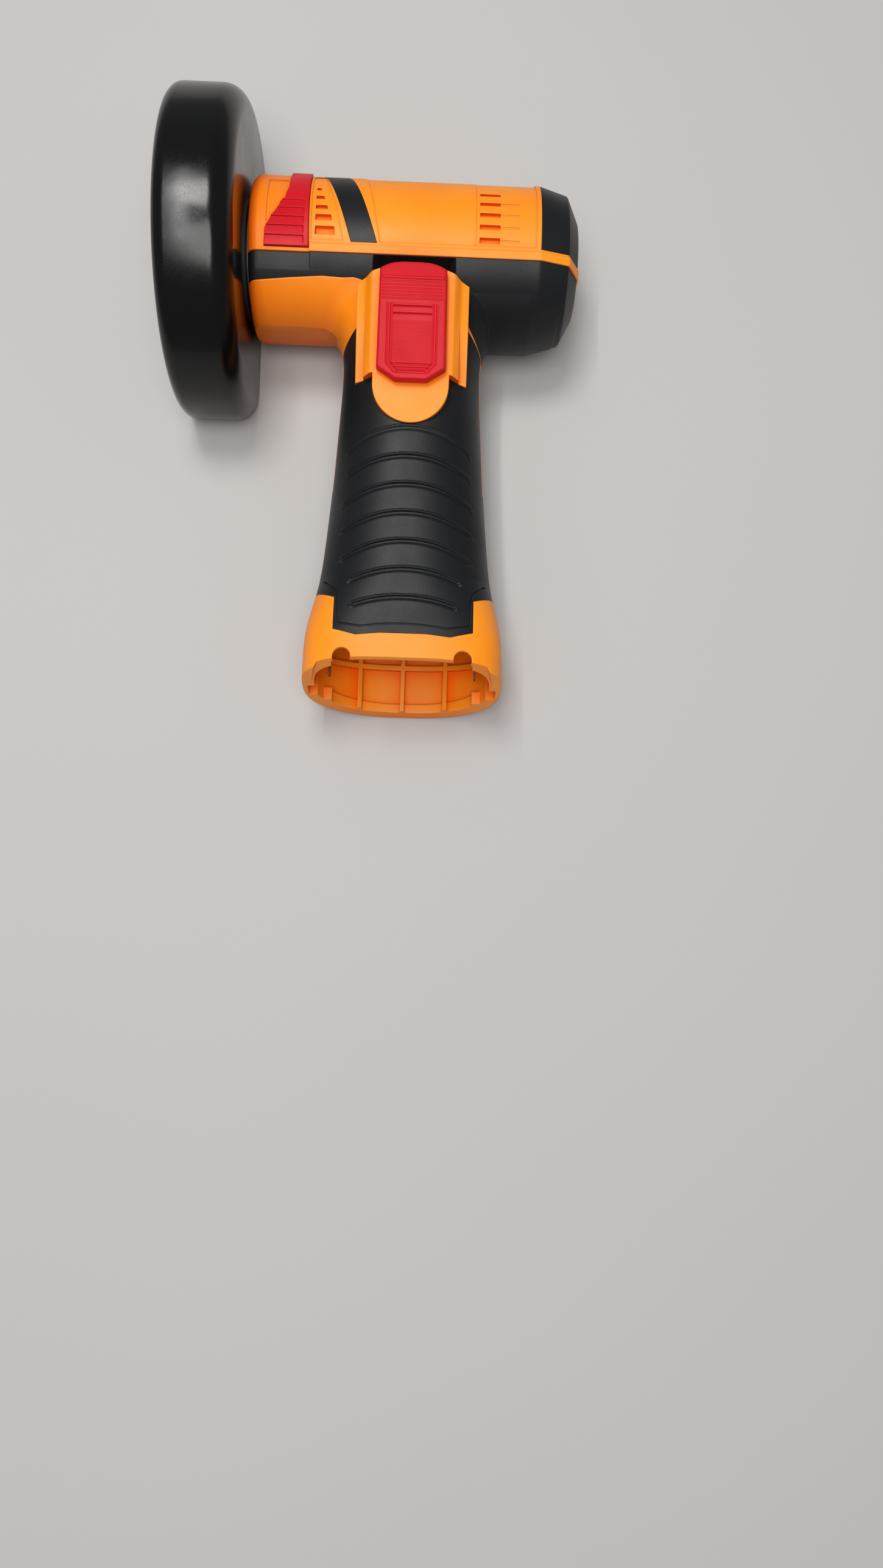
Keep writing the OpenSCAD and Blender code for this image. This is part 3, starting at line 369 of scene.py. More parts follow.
def groove(distance, width, depth):
    """Height of a round groove whose middle lies where the distance is zero."""
    return -depth * np.clip(1 - (2 * distance / width) ** 2, 0, 1)


def smooth(t):
    """An eased step from 0 to 1."""
    t = np.clip(t, 0, 1)
    return t * t * (3 - 2 * t)


# Forms of the casing


def at(y, column):
    """One column of the handle's table at y, with the corners between rows eased."""
    taps = np.linspace(-5, 5, 21)
    return np.mean(np.interp(-y + taps, -HANDLE_TABLE[:, 0], HANDLE_TABLE[:, column]))


def section(y, inset, points, proud=None):
    """One ring of the handle, drawn in by inset or swelled by proud(x, y, front)."""
    turn = np.linspace(0, 2 * math.pi, points, endpoint=False)
    c, s = np.cos(turn), np.sin(turn)
    e = 2 / np.where(s >= 0, np.interp(y, [-108, -92], [BASE_POWER, SECTION_POWER]), SECTION_POWER)
    half, front, back = (at(y, k) - inset for k in (1, 2, 3))
    x = half * np.sign(c) * np.abs(c) ** e
    z = np.where(s >= 0, front, back) * np.sign(s) * np.abs(s) ** e
    if proud is not None:
        grow = proud(x, y)
        length = np.hypot(x / half, z / front) + 1e-9
        x = x * (1 + grow / half * np.abs(x / half) / length)
        z = z * (1 + grow / front * np.abs(z / front) / length)
    return np.column_stack([HANDLE_X + x, np.full(points, y), z])


def handle_form(name, inset, points=128, step=RING_STEP, proud=None):
    """The handle drawn in by inset; a relief has its close rings along the ribbed stretch only."""
    ys = np.arange(FORM_TOP_Y, FORM_END_Y, -step)
    if proud is not None:
        ys = np.concatenate([np.arange(FORM_TOP_Y, RIBBED_Y[0], -RING_STEP), np.arange(*RIBBED_Y, -step),
                             np.arange(RIBBED_Y[1], FORM_END_Y, -RING_STEP)])
    return loft(name, [section(y, inset, points, proud) for y in ys])


def barrel_form(name, inset, segments=180):
    """The barrel with its tapered, bevelled rear end, drawn in by inset."""
    r, end = BARREL_R - inset, BARREL_LEN - inset
    profile = rounded(
        [(0.0, 0.4), (0.0, r), (end - TAPER_LEN, r), (end - BEVEL, r - TAPER_DROP),
         (end, r - TAPER_DROP - 2 * BEVEL), (end, 0.4)],
        [2.4, 4, 0.9, 0.9], 5)
    return revolve(name, [(BARREL_X0 + x, q) for x, q in profile], segments)


def beyond_base(name, inset=0.0, slant=BASE_SLANT):
    """Everything beyond the slanted open end of the base, moved in by an inset."""
    end = -HANDLE_LEN - BACK_DEPTH * math.tan(math.radians(BASE_SLANT)) + inset
    place = (Matrix.Translation((0, end * MM, -BACK_DEPTH * MM))
             @ Matrix.Rotation(math.radians(-slant), 4, "X"))
    return block(name, (-FAR, -FAR, -FAR), (2 * FAR, 0, FAR), place)


def base_end(name):
    """What the open end leaves out: a slanted cut whose side walls reach further than its middle."""
    outline = [(-19, -110), (19, -110), (26.5, -123), (26.5, -FAR), (-26.5, -FAR), (-26.5, -123)]
    opening = common(beyond_base(name, -RIM_REACH), view_prism("opening", outline, 1))
    return join(opening, beyond_base("walls_end", WALLS_SHORT, WALLS_SLANT))


PLATE = (Matrix.Translation((HANDLE_X * MM, SWITCH_Y * MM, SWITCH_Z * MM))
         @ Matrix.Rotation(math.radians(SWITCH_TILT), 4, "X"))
ALONG_Y = Matrix.Rotation(math.radians(90), 4, "X")


def switch_outline():
    """The switch plate with its round tongue, in the plate's own plane."""
    h, r = FRAME_HALF, TONGUE_R
    return ([(-h, 21), (-h, -13.6), (-r, -12.3)] + arc(0, TONGUE_Y, r, 180, 360, 40)
            + [(r, -12.3), (h, -13.6), (h, 21)])


def switch_boss(name):
    """Raised plate round the slider, with a bowed top end, sloping sides and a lip along them."""
    h, p = FRAME_HALF + 0.5, PLATE_HALF - 0.8
    outer = prism(name, switch_outline(), -20, 0, PLATE)
    profile = prism("boss_profile", [(-p, 0), (p, 0), (p + 0.5, -0.4), (p + 1.8, -2.3), (p + 2.4, -2.7),
                                     (h, -3.2), (h, -30), (-h, -30), (-h, -3.2), (-p - 2.4, -2.7),
                                     (-p - 1.8, -2.3), (-p - 0.5, -0.4)],
                    -FAR / 2, FAR / 2, PLATE @ ALONG_Y)
    drop = (PLATE @ Matrix.Translation((0, 2 * MM, -2.2 * MM))
            @ Matrix.Rotation(math.radians(11.7), 4, "X"))
    wedges = [block("lip_drop", (low, -FAR, 0), (high, 0, FAR), drop)
              for low, high in ((-FAR, -p - 1.8), (p + 1.8, FAR))]
    bow = [(x, SLIDER_TOP - 3.4 * (max(abs(x) - 7.8, 0) / 7.4) ** 1.3) for x in np.linspace(h, -h, 41)]
    limit = prism("boss_limit", [(-FAR, -FAR), (FAR, -FAR), (FAR, bow[0][1])] + bow + [(-FAR, bow[-1][1])],
                  -20, 20, PLATE)
    return cut(common(outer, profile, limit), *wedges)


def pocket(name, wall=0.0, ends_at_plate=True):
    """Deep recess between the stripe and the switch plate, that the slider moves up over."""
    rings = []
    end = STRIPE_Y - 0.15 + wall
    for level, half in POCKET_LEVELS:
        z = level - wall if level == POCKET_LEVELS[0][0] else level
        half += wall
        low = half + POCKET_FLARE
        rings.append(np.array([(HANDLE_X + x, y, z) for x, y in (
            (-low, POCKET_LOW_Y), (low, POCKET_LOW_Y), (half, end), (-half, end))]))
    form = loft(name, rings)
    return cut(form, switch_boss("pocket_end")) if ends_at_plate else form


def grip_outline():
    """The handle's grip, seen from the front."""
    step = BASE_W / 2 - 8.6
    right = [(8, -23), (FRAME_HALF, -25), (NECK_W / 2 + 3, -31.5), (BASE_W, -31.5), (BASE_W, -96),
             (BASE_W / 2 - 2.2, -96), (step, -98.5), (step, -107.3), (step - 6, -108.9), (6, -108.3)]
    return right + [(-x, y) for x, y in reversed(right)]


def grip_zone(name, side):
    """The room that the grip takes up on one half, with an orange strip left free at each side."""
    zone = view_prism(name, grip_outline(), side)
    cut(zone, block("side_line", (-FAR, SIDE_LINE_Y[1], -SIDE_LINE_Z), (FAR, FAR, SIDE_LINE_Z)))
    if side > 0:
        cut(zone, prism("grip_window", switch_outline(), -FAR / 2, FAR / 2, PLATE))
    return zone


def barrel_outline(side):
    """The pad along the lower barrel and the neck, seen from the front."""
    right = FRAME_HALF - 1 if side > 0 else NECK_W / 2 - 4
    left = -PLATE_HALF if side > 0 else -NECK_W / 2 + 2
    front_end = -BARREL_LEN / 2 - 1
    wave = [(0.6, 0), (-0.4, 0.2), (-2.2, 0.9), (-4.4, 1.5), (-7.2, 1.3), (-13, 1.5), (-22, 0.9), (-33, 0)]
    lower = rounded([(left + x, STRIP_LOW_Y + y) for x, y in wave], [1, 3, 6, 14, 20, 30], 8)
    return ([(front_end, STRIPE_Y), (BARREL_LEN, STRIPE_Y), (BARREL_LEN, -31.2), (NECK_W / 2 + 3, -31.2),
             (NECK_W / 2 - 1.2, -27.3), (right, -22.5), (right, STRIP_LOW_Y)] + lower
            + [(front_end, STRIP_LOW_Y)])


def band_edge(x, turns):
    """A line that winds slowly round the barrel, seen from the front."""
    return [(x + BAND_TWIST * turn, BARREL_R * math.sin(math.radians(turn))) for turn in turns]


BAND_TURNS = np.linspace(-13.6, 90, 24)
BAND_OUTLINE = (band_edge(BAND_X[0], BAND_TURNS) + [(BAND_X[0] - 10.8, BARREL_R + 1),
                                                    (BAND_X[1] - 10.8, BARREL_R + 1)]
                + band_edge(BAND_X[1], BAND_TURNS[::-1]))
REAR_PAD_OUTLINE = [(REAR_PAD_X, PAD_EDGE_Y), (BARREL_LEN, PAD_EDGE_Y), (BARREL_LEN, BARREL_LEN),
                    (REAR_PAD_X, BARREL_LEN)]
LOCK_OUTLINE = [(LOCK_X[0], LOCK_Y[0]), (LOCK_X[1], LOCK_Y[0]), (LOCK_X[1] - 0.3, LOCK_Y[1]),
                (-33.6, LOCK_Y[1]), (-33.7, 10), (-34.2, 8), (-34.5, 6.2), (-35.6, 5.4), (-36, 3.6),
                (-36.6, 2.9), (-37.5, 1.2), (-38, 0.6), (-38.7, -1.1), (-39.4, -2.2)]
VENT_PANEL = [(LOCK_X[1] + 0.6, PANEL_LOW_Y), (-18.9, PANEL_LOW_Y), (-21, 5), (-24.6, 16.8),
              (LOCK_X[1] + 0.5, 16.8)]
MAIN_PANEL = [(-9.3, PANEL_LOW_Y), (REAR_PAD_X - 1.2, PANEL_LOW_Y), (REAR_PAD_X - 1.2, BARREL_R),
              (-14.6, BARREL_R), (-12.8, 14.1)]
REAR_PANEL = [(16.0, PANEL_LOW_Y), (REAR_PAD_X - 1.2, PANEL_LOW_Y), (REAR_PAD_X - 1.2, BARREL_R),
              (16.0, BARREL_R)]
COLLAR_STEP = [(-39.3, -0.6), (-38.9, -0.6), (-34.6, 7.5), (-34.2, 14), (-39.3, 14)]
STRIPE = [(LOCK_X[1] + 0.2, STRIPE_Y), (BARREL_LEN, STRIPE_Y), (BARREL_LEN, STRIPE_Y + STRIPE_W),
          (LOCK_X[1] + 0.2, STRIPE_Y + STRIPE_W)]
# Flat lower face of the barrel's front end, seen along Y
LOWER_FACE = ([(-BARREL_LEN, 6.4), (-38, 5.2), (-27, 4.6)] + arc(-26, -2.4, 6.9, 83, 0, 12)
              + [(-19.1, -9), (-BARREL_LEN, -9)])

barrel_skin = barrel_form("barrel_skin", 0)
barrel_under = barrel_form("barrel_under", PAD_T)
handle_skin = handle_form("handle_skin", 0)
handle_under = handle_form("handle_under", PAD_T)
handle_over = handle_form("handle_over", -4, 64, 3)
core = handle_form("core", WALL, 72, 3)
base_cut = base_end("base_cut")


def neck_fillet(name):
    """A soft transition where the handle grows out of the barrel."""
    form = common(join(copy_of(barrel_skin, name), handle_skin),
                  block("neck", (HANDLE_X - 38, -48, -30), (HANDLE_X + 38, 4, 30)))
    even = form.modifiers.new("even", "REMESH")
    even.mode = "VOXEL"
    even.voxel_size = 0.6 * MM
    soften = form.modifiers.new("soften", "SMOOTH")
    soften.factor = 0.5
    soften.iterations = 90
    return common(form, block("neck_limit", (HANDLE_X - 34, -44, -26), (HANDLE_X + 34, 0, 26)))


def lower_face(name):
    """The slice that the flat lower face takes off the barrel's front end."""
    high, low = (np.array([-math.sqrt(BARREL_R ** 2 - z * z), z]) for z in (5.0, -9.0))
    lean = math.atan2(low[0] - high[0], high[1] - low[1])
    beyond = block("beyond_face", (-FAR, -FAR, -FAR), (FAR, 0, FAR),
                   Matrix.Translation((0, high[0] * MM, high[1] * MM)) @ Matrix.Rotation(lean, 4, "X"))
    return common(side_prism(name, LOWER_FACE), beyond)


def sunk(outline, side, depth):
    """A shallow recess over part of the barrel."""
    return cut(view_prism("sunk", outline, side), barrel_form("sunk_floor", depth))


def bay_ribs(name):
    """Three upright ribs and a cross rib on the bay's back wall, and a low lip with square corners."""
    upright = [block("rib", (HANDLE_X + x - BAY_RIB_W / 2, -FAR, -FAR),
                     (HANDLE_X + x + BAY_RIB_W / 2, BAY_ROOF_Y - 2, FAR))
               for x in (-BAY_RIB_X, 0, BAY_RIB_X)]
    cross = block("cross_rib", (HANDLE_X - 22, -112, -FAR), (HANDLE_X + 22, -110.6, FAR))
    skin = cut(handle_form(name, WALL - SHELL_LAP, 72, 3), handle_form("rib_face", WALL + BAY_RIB_H, 72, 3))
    ribs = common(skin, join(cross, *upright))
    lip = cut(handle_form("lip", WALL - SHELL_LAP, 72, 3), handle_form("lip_bore", WALL + BAY_LIP_H, 72, 3))
    corners = [block("corner", (HANDLE_X + x - 3, -FAR, BAY_CORNER_Z), (HANDLE_X + x + 3, 0, BAY_LIP_Z))
               for x in (-22.5, 22.5)]
    join(lip, common(join(*corners), handle_form("corner_limit", 1, 72, 3)))
    common(lip, beyond_base("lip_zone", BAY_LIP_W),
           block("lip_back", (-FAR, -FAR, -FAR), (FAR, FAR, BAY_LIP_Z)))
    return join(ribs, lip)


def thin_rim(name):
    """Takes the inside off the front wall's end, which leaves a thin edge between the notches."""
    zone = [(-RIM_HALF, -FAR), (RIM_HALF, -FAR), (RIM_HALF, RIM_TOP_Y), (-RIM_HALF, RIM_TOP_Y)]
    return common(handle_form(name, RIM_T, 72, 3), view_prism("rim_zone", zone, 1))


def shell_halves():
    """Both orange shells, with their windows, vents, ribs and notches."""
    ribs = bay_ribs("bay_ribs")
    face = lower_face("lower_face")
    fillet = neck_fillet("fillet")
    for side, name in ((1, "front"), (-1, "back")):
        zones = [view_prism("zone", outline, side)
                 for outline in (barrel_outline(side), BAND_OUTLINE, REAR_PAD_OUTLINE)]
        pads = cut(join(*zones), barrel_under, handle_under)
        grip = common(grip_zone("grip_cut", side), cut(copy_of(handle_over, "grip_band"), handle_under))
        shell = join(copy_of(barrel_skin, "shell"), handle_skin, fillet)
        cut(shell, face, *[sunk(*recess) for recess in (
            (VENT_PANEL, side, 0.22), (MAIN_PANEL, side, 0.22), (REAR_PANEL, side, 0.36),
            (COLLAR_STEP, side, 0.3))])
        join(shell, common(barrel_form("bead", -0.3), view_prism("stripe", STRIPE, side)))
        if side > 0:
            boss = switch_boss("boss")
            cut(pads, boss)
            join(shell, boss)
        half = block("half", (-FAR, -FAR, 0 if side > 0 else -FAR), (FAR, FAR, FAR if side > 0 else 0))
        cut(shell, rod("cavity", BARREL_X0 + 2, BARREL_X1 - TAPER_LEN, CAVITY_R), core)
        if side < 0:
            join(shell, ribs)
        common(shell, half)
        cut(shell, base_cut, rod("mouth", BARREL_X0 - 1, BARREL_X0 + 3, SHOULDER_R), pads, grip)
        cut(shell, *vents(side))
        if side > 0:
            cut(shell, common(pocket("tub_cut", 1), barrel_form("tub_limit", 0.5)), pocket("pocket_cut"),
                lock_window("lock_window"), thin_rim("thin_rim"),
                block("slider_slot", (-3.3, -3.8, -8), (3.3, 3.8 + SLIDER_TRAVEL, 4), PLATE),
                *[post("notch", HANDLE_X + x, -HANDLE_LEN + 4.4, 4, FAR, 2.4) for x in (-15.8, 15.8)])
        for x in (-1, 1):
            low, high = sorted(HANDLE_X + x * (BASE_W / 2 - inset) for inset in (WALL + 1, 1.3))
            cut(shell, block("latch_slot", (low, -HANDLE_LEN - 4, -5), (high, -HANDLE_LEN + 5, 1)))
        if side < 0:
            cut(shell, *screw_wells())
        finish_piece(shell, f"{name}_shell_skin", orange, f"{name}_shell")


SCREW_PLACES = [(-7, BARREL_R - 5.4), (24, BARREL_R - 5.4), (33.5, 5.4 - BARREL_R),
                (-11.5, -54), (11.5, -54), (-15, -72), (15, -72)]


def screw_wells():
    """Wells in the back half that the housing screws sit in."""
    return [post("well", HANDLE_X + x, y, -FAR, -9 if y > -30 else -12, 2.1) for x, y in SCREW_PLACES]


def vents(side):
    """Blind slots in two groups on the barrel."""
    front = zip((5.3, 4.4, 3.3, 2.3, 1.3), (2.2, 1.65, 1.2, 1.15, 1.0), (-3.4, 0.4, 3.6, 6.8, 10.0))
    slots = [[(-26.4, y), (-26.4 + w, y), (-26.7 + w, y + h), (-26.3, y + h)] for w, h, y in front]
    faint = []
    for i in range(5):
        y, h = -4.0 + 3.63 * i, 1.5 - 0.12 * i
        slots.append([(17, y), (22.4, y), (22.4, y + h), (17, y + h)])
        faint.append([(22.4, y + 0.5), (27.6, y + 0.5), (27.6, y + 1.0), (22.4, y + 1.0)])
    return [sunk(slot, side, 1.6) for slot in slots] + [sunk(line, side, 0.5) for line in faint[:4]]


def lock_window(name):
    """The lock button's opening, a little wider than the button."""
    return view_prism(name, inset_outline(LOCK_OUTLINE, -LOCK_GAP), 1)


RIB_TOP, RIB_PITCH = -53.3, 7.45
RIB_REACH = (16.2, 16.5, 17.2, 17.4, 17.4, 14.8, 13.8)
RIB_BOW = (28, 33, 33.5, 34, 34, 36, 42)


def grip_relief(x, y):
    """Bowed channels across the grip, each with a thin lip along its top and a dot at both ends."""
    grow = np.zeros_like(x)
    for i, (reach, bow) in enumerate(zip(RIB_REACH, RIB_BOW)):
        line = RIB_TOP - RIB_PITCH * i
        down = bow - np.hypot(x, y - line + bow)
        lip = 0.28 * np.clip(1 - (down / 0.32) ** 2, 0, 1)
        channel = -0.42 * smooth((down - 0.2) / 0.25) * (1 - smooth((down - 0.7) / 1.0))
        ends = smooth((reach - np.abs(x)) / 0.7)
        dot = 0.3 * np.clip(1 - ((np.abs(x) - reach) ** 2 + (down - 0.7) ** 2) / 0.2, 0, 1)
        near = y > line - bow
        grow += near * ((0.6 if i == 0 else 1.0) * (lip + channel) * ends + dot)
    return grow


def grip_grooves(side):
    """Fine grooves just inside the grip's sides and lower end."""
    low, high = sorted((side * SIDE_LINE_Z, side * (SIDE_LINE_Z + 0.4)))
    seam = block("seam", (-FAR, SIDE_LINE_Y[2], low), (FAR, SIDE_LINE_Y[0], high))
    line = [(21.4, -93.4), (17.8, -96.6), (17.3, -105.6), (11.4, -106.6), (5.5, -105.9), (0, -105.7)]
    half = rounded(line, [1, 1, 1, 6], 4)
    path = np.array(half + [(-x, y) for x, y in reversed(half[:-1])])
    along = np.gradient(path, axis=0)
    across = 0.2 * np.column_stack([-along[:, 1], along[:, 0]]) / np.linalg.norm(along, axis=1)[:, None]
    border = view_prism("border", np.vstack([path + across, (path - across)[::-1]]), side)
    return [cut(tool, handle_form("groove_floor", 0.4)) for tool in (seam, border)]


def strip_step(name):
    """The strip left of the vents lies lower along its top edge, and fades out towards its lower edge."""
    fade = math.asin((STRIPE_Y - 3) / BARREL_R)
    floor = barrel_form("step_floor", 0)
    floor.data.transform(Matrix.Translation((0, -2.6 * math.cos(fade) * MM, 2.6 * math.sin(fade) * MM)))
    zone = [(-BARREL_LEN, -FAR), (LOCK_X[1] + 0.3, -FAR), (LOCK_X[1] + 0.3, FAR), (-BARREL_LEN, FAR)]
    return cut(view_prism(name, zone, 1), floor)


def pads():
    """Soft black pads let into the shells."""
    ribbed = handle_form("ribbed", 0, 300, 0.16, grip_relief)
    for side, name in ((1, "front"), (-1, "back")):
        grip = common(cut(copy_of(ribbed, "grip"), handle_under), grip_zone("zone", side))
        cut(grip, *grip_grooves(side))
        if side < 0:
            cut(grip, *screw_wells())
        finish_piece(grip, f"{name}_grip_skin", soft_black, f"{name}_handle_grip")

        swell = common(barrel_form("swell", SWELL - 0.9),
                       block("rear_half", (HANDLE_X, -FAR, -FAR), (FAR, FAR, FAR)))
        swell.data.transform(Matrix.Translation((0, -SWELL * MM, 0)))
        pad = cut(common(join(copy_of(barrel_skin, "pad"), handle_skin, swell),
                         view_prism("zone", barrel_outline(side), side)), barrel_under, handle_under)
        if side > 0:
            cut(pad, switch_boss("boss"), strip_step("strip_step"))
            join(pad, common(pocket("tub", 0.98), barrel_form("tub_limit", 0.52)))
            cut(pad, pocket("pocket", 0, False))
        else:
            cut(pad, *screw_wells())
        finish_piece(pad, f"{name}_barrel_pad", soft_black, f"{name}_barrel_grip")

        for outline, node in ((BAND_OUTLINE, "band"), (REAR_PAD_OUTLINE, "rear_pad")):
            pad = common(cut(copy_of(barrel_skin, "pad"), barrel_under), view_prism("zone", outline, side))
            finish_piece(pad, f"{name}_{node}_skin", soft_black, f"{name}_{node}")


def slider_piece():
    """Thumb slider: a ridge and ribs under its crowned top, then a framed panel of fine lines."""
    half, top = SLIDER_W / 2, SLIDER_TOP + SLIDER_OVER
    low = SLIDER_TOP - SLIDE_GAP - SLIDER_LEN
    outline = [(half * t, top - SLIDER_CROWN * abs(t) ** 3.4) for t in np.linspace(-1, 1, 25)]
    outline += [(half + 0.3, low + 3.1), (half - 4.6, low), (4.6 - half, low), (-half - 0.3, low + 3.1)]
    panel = [(-6.6, FAR), (6.6, FAR), (6.6, low + 3.9), (4.4, low + 1.5), (-4.4, low + 1.5),
             (-6.6, low + 3.9)]
    edge_r, panel_top = 0.7, 4.9

    def height(x, y):
        turn = np.clip(1 - depth_inside(outline, x, y) / edge_r, 0, 1)
        z = SLIDE_GAP + SLIDER_T - edge_r * (1 - np.sqrt(1 - turn ** 2))
        z -= 0.17 * np.clip(y - 11.9, 0, None)
        wide = smooth((half - 0.5 - np.abs(x)) / 0.4)
        z += 0.35 * wide * np.clip(1 - ((y - 11.3) / 0.5) ** 2, 0, 1)
        for i in range(6):
            z += wide * groove(y - 10.3 + 0.88 * i, 0.5, 0.2)
        inside = depth_inside(panel, x, y)
        below = smooth((panel_top - y) / 0.5)
        z += below * (groove(inside - 0.2, 0.45, 0.22) + groove(inside - 1.1, 0.45, 0.3))
        z -= 0.18 * below * smooth((inside - 1.2) / 0.3)
        for line in (4.0, 2.1):
            z += groove(y - line, 0.55, 0.55) * smooth((5.1 - np.abs(x)) / 0.3)
        fine = smooth((0.6 - y) / 0.2) * smooth((y + 10.3) / 0.2) * smooth((inside - 1.3) / 0.2)
        z -= 0.06 * fine * (1 - np.cos(2 * math.pi * y / 0.43))
        for line, reach in ((-10.9, 5.5), (-11.9, 4.7), (-12.8, 3.9)):
            z += groove(y - line, 0.6, 0.36) * smooth((reach - np.abs(x)) / 0.4)
        return z

    xs = np.arange(-half - 0.5, half + 0.51, 0.13)
    ys = np.arange(low - 0.2, top + 0.21, 0.08)
    cap = common(relief("slider", xs, ys, height, SLIDE_GAP), prism("slider_edge", outline, 0, 10))
    join(cap, block("stem", (-3, -3.5, -4.4), (3, 3.5, SLIDE_GAP + 0.5)))
    cap.data.transform(PLATE)
    finish_piece(cap, "slider_cap", red, "switch_slider", "switch", 28)


def lock_piece():
    """Shingled push button with a plain column on its right and a plain strap over the barrel's top."""
    def radius(x, turn):
        y = BARREL_R * np.sin(turn)
        step = (SHINGLE_TOP - y) / SHINGLE_PITCH
        shingle = np.where(step > 0, 0.5 * (1 - np.clip(step, 0, 4.99) % 1), 0)
        column = smooth((LOCK_X[1] - 1.3 - x + HANDLE_X) / 0.25)
        return BARREL_R + 0.7 - shingle * column

    def wrap(points):
        x, turn, r = points.T
        return np.column_stack([x, r * np.sin(turn), r * np.cos(turn)])

    xs = HANDLE_X + np.arange(LOCK_X[0] - 1, LOCK_X[1] + 1, 0.2)
    turns = np.radians(np.arange(-20, 62, 0.15))
    cap = common(relief("lock", xs, turns, radius, BARREL_R - 2.2, wrap),
                 view_prism("lock_edge", LOCK_OUTLINE, 1))
    join(cap, post("lock_pin", HANDLE_X + sum(LOCK_X) / 2, 0, BARREL_R - 10, BARREL_R - 1.5, 1.8))
    finish_piece(cap, "lock_cap", red, "lock_button", "lock", 28)


def guard_piece():
    """Glossy guard with round shoulders and an inward lip."""
    r, q, t, lip, bore = GUARD_R, 6.0, 2.4, 5.0, 13.05
    x0, x1 = GUARD_X0, GUARD_X1
    profile = rounded(
        [(x0 + t / 2, r - t - lip), (x0, r - t - lip), (x0, r), (x1, r), (x1, bore), (x1 - t, bore),
         (x1 - t, r - t), (x0 + t, r - t), (x0 + t, r - t - lip), (x0 + t / 2, r - t - lip)],
        [0.6, q, q, 0.6, 0.3, q - t, q - t, 0.6], 10)[:-1]
    guard = revolve("guard_form", profile, 256, closed=True)
    cut(guard, block("guard_flat", (-FAR, -FAR, -FAR), (FAR, FAR, guard_low[2])))
    finish_piece(guard, "guard_skin", gloss_black, "guard", "guard", 30)


# Materials


class Look:
    """A node material under construction."""

    def __init__(self, name):
        self.material = bpy.data.materials.new(name)
        self.material.use_nodes = True
        self.tree = self.material.node_tree
        self.shader = self.tree.nodes["Principled BSDF"]
        self.coords = self.tree.nodes.new("ShaderNodeTexCoord").outputs["Object"]

    def node(self, kind, **inputs):
        n = self.tree.nodes.new(kind)
        for key, value in inputs.items():
            self.set(n.inputs[key.replace("_", " ")], value)
        return n

    def set(self, socket, value):
        if isinstance(value, bpy.types.NodeSocket):
            self.tree.links.new(value, socket)
        else:
            socket.default_value = value

    def noise(self, scale, detail=2.0, roughness=0.5):
        n = self.node("ShaderNodeTexNoise", Vector=self.coords, Scale=scale, Detail=detail,
                      Roughness=roughness)
        return n.outputs["Fac"]

    def ramp(self, value, low, high, to_low, to_high):
        n = self.node("ShaderNodeMapRange", Value=value, From_Min=low, From_Max=high,
                      To_Min=to_low, To_Max=to_high)
        return n.outputs["Result"]

    def mix(self, factor, a, b):
        n = self.tree.nodes.new("ShaderNodeMix")
        n.data_type = "RGBA"
        self.set(n.inputs["Factor"], factor)
        self.set(n.inputs["A"], a)
        self.set(n.inputs["B"], b)
        return n.outputs["Result"]

    def math(self, operation, a, b=0.0):
        n = self.tree.nodes.new("ShaderNodeMath")
        n.operation = operation
        self.set(n.inputs[0], a)
        self.set(n.inputs[1], b)
        return n.outputs[0]

    def edges(self, radius):
        """Rounded normals, and how far a point lies on a rounded edge."""
        bevel = self.tree.nodes.new("ShaderNodeBevel")
        bevel.samples = 6
        bevel.inputs["Radius"].default_value = radius * MM
        geometry = self.tree.nodes.new("ShaderNodeNewGeometry")
        dot = self.tree.nodes.new("ShaderNodeVectorMath")
        dot.operation = "DOT_PRODUCT"
        self.tree.links.new(bevel.outputs["Normal"], dot.inputs[0])
        self.tree.links.new(geometry.outputs["Normal"], dot.inputs[1])
        return bevel.outputs["Normal"], self.ramp(dot.outputs["Value"], 0.99, 0.8, 0, 1)

    def recess_shade_mask(self, reach):
        """How closed in a point lies within about this reach; the mask for shade painted into recesses."""
        closed = self.node("ShaderNodeAmbientOcclusion", Distance=reach * MM)
        closed.samples = 4
        return self.ramp(closed.outputs["AO"], 0.4, 0.9, 1, 0)

    def bump(self, height, strength, distance, normal):
        n = self.node("ShaderNodeBump", Strength=strength, Distance=distance * MM, Height=height,
                      Normal=normal)
        return n.outputs["Normal"]


def srgb(r, g, b):
    """Linear colour from 8-bit screen values."""
    def linear(v):
        v = v / 255
        return v / 12.92 if v <= 0.04045 else ((v + 0.055) / 1.055) ** 2.4
    return (linear(r), linear(g), linear(b), 1.0)


def plastic(name, colour, deep, worn, roughness, grain, bump, edge=0.3, specular=0.5, painted_shade=None):
    """Moulded plastic: flow marks, a fine grain, edges rubbed paler and perhaps painted shade, a deeper
    colour laid into recesses.
    """
    look = Look(name)
    normal, edge_mask = look.edges(edge)
    flow = look.noise(60, 3, 0.55)
    fine = look.noise(grain, 2, 0.6)
    base = look.mix(look.ramp(flow, 0.3, 0.7, 0, 1), colour, deep)
    # Painted shade: recesses take a deeper colour and a weaker sheen, standing in for the shade and bounce
    # light there.
    if painted_shade is not None:
        depth = look.recess_shade_mask(25)
        base = look.mix(depth, base, painted_shade)
        specular = look.ramp(depth, 0, 1, specular, 0.2 * specular)
    scuff = look.ramp(look.noise(900, 4, 0.7), 0.5, 0.75, 0, 1)
    rub = look.math("MULTIPLY", edge_mask, look.ramp(scuff, 0, 1, 0.25, 0.7))
    look.set(look.shader.inputs["Base Color"], look.mix(rub, base, worn))
    rough = look.math("ADD", look.ramp(flow, 0.3, 0.7, roughness - 0.05, roughness + 0.05),
                      look.ramp(fine, 0.3, 0.7, -0.04, 0.04))
    look.set(look.shader.inputs["Roughness"], rough)
    look.set(look.shader.inputs["Normal"], look.bump(fine, bump, 0.05, normal))
    look.set(look.shader.inputs["Specular IOR Level"], specular)
    return look.material


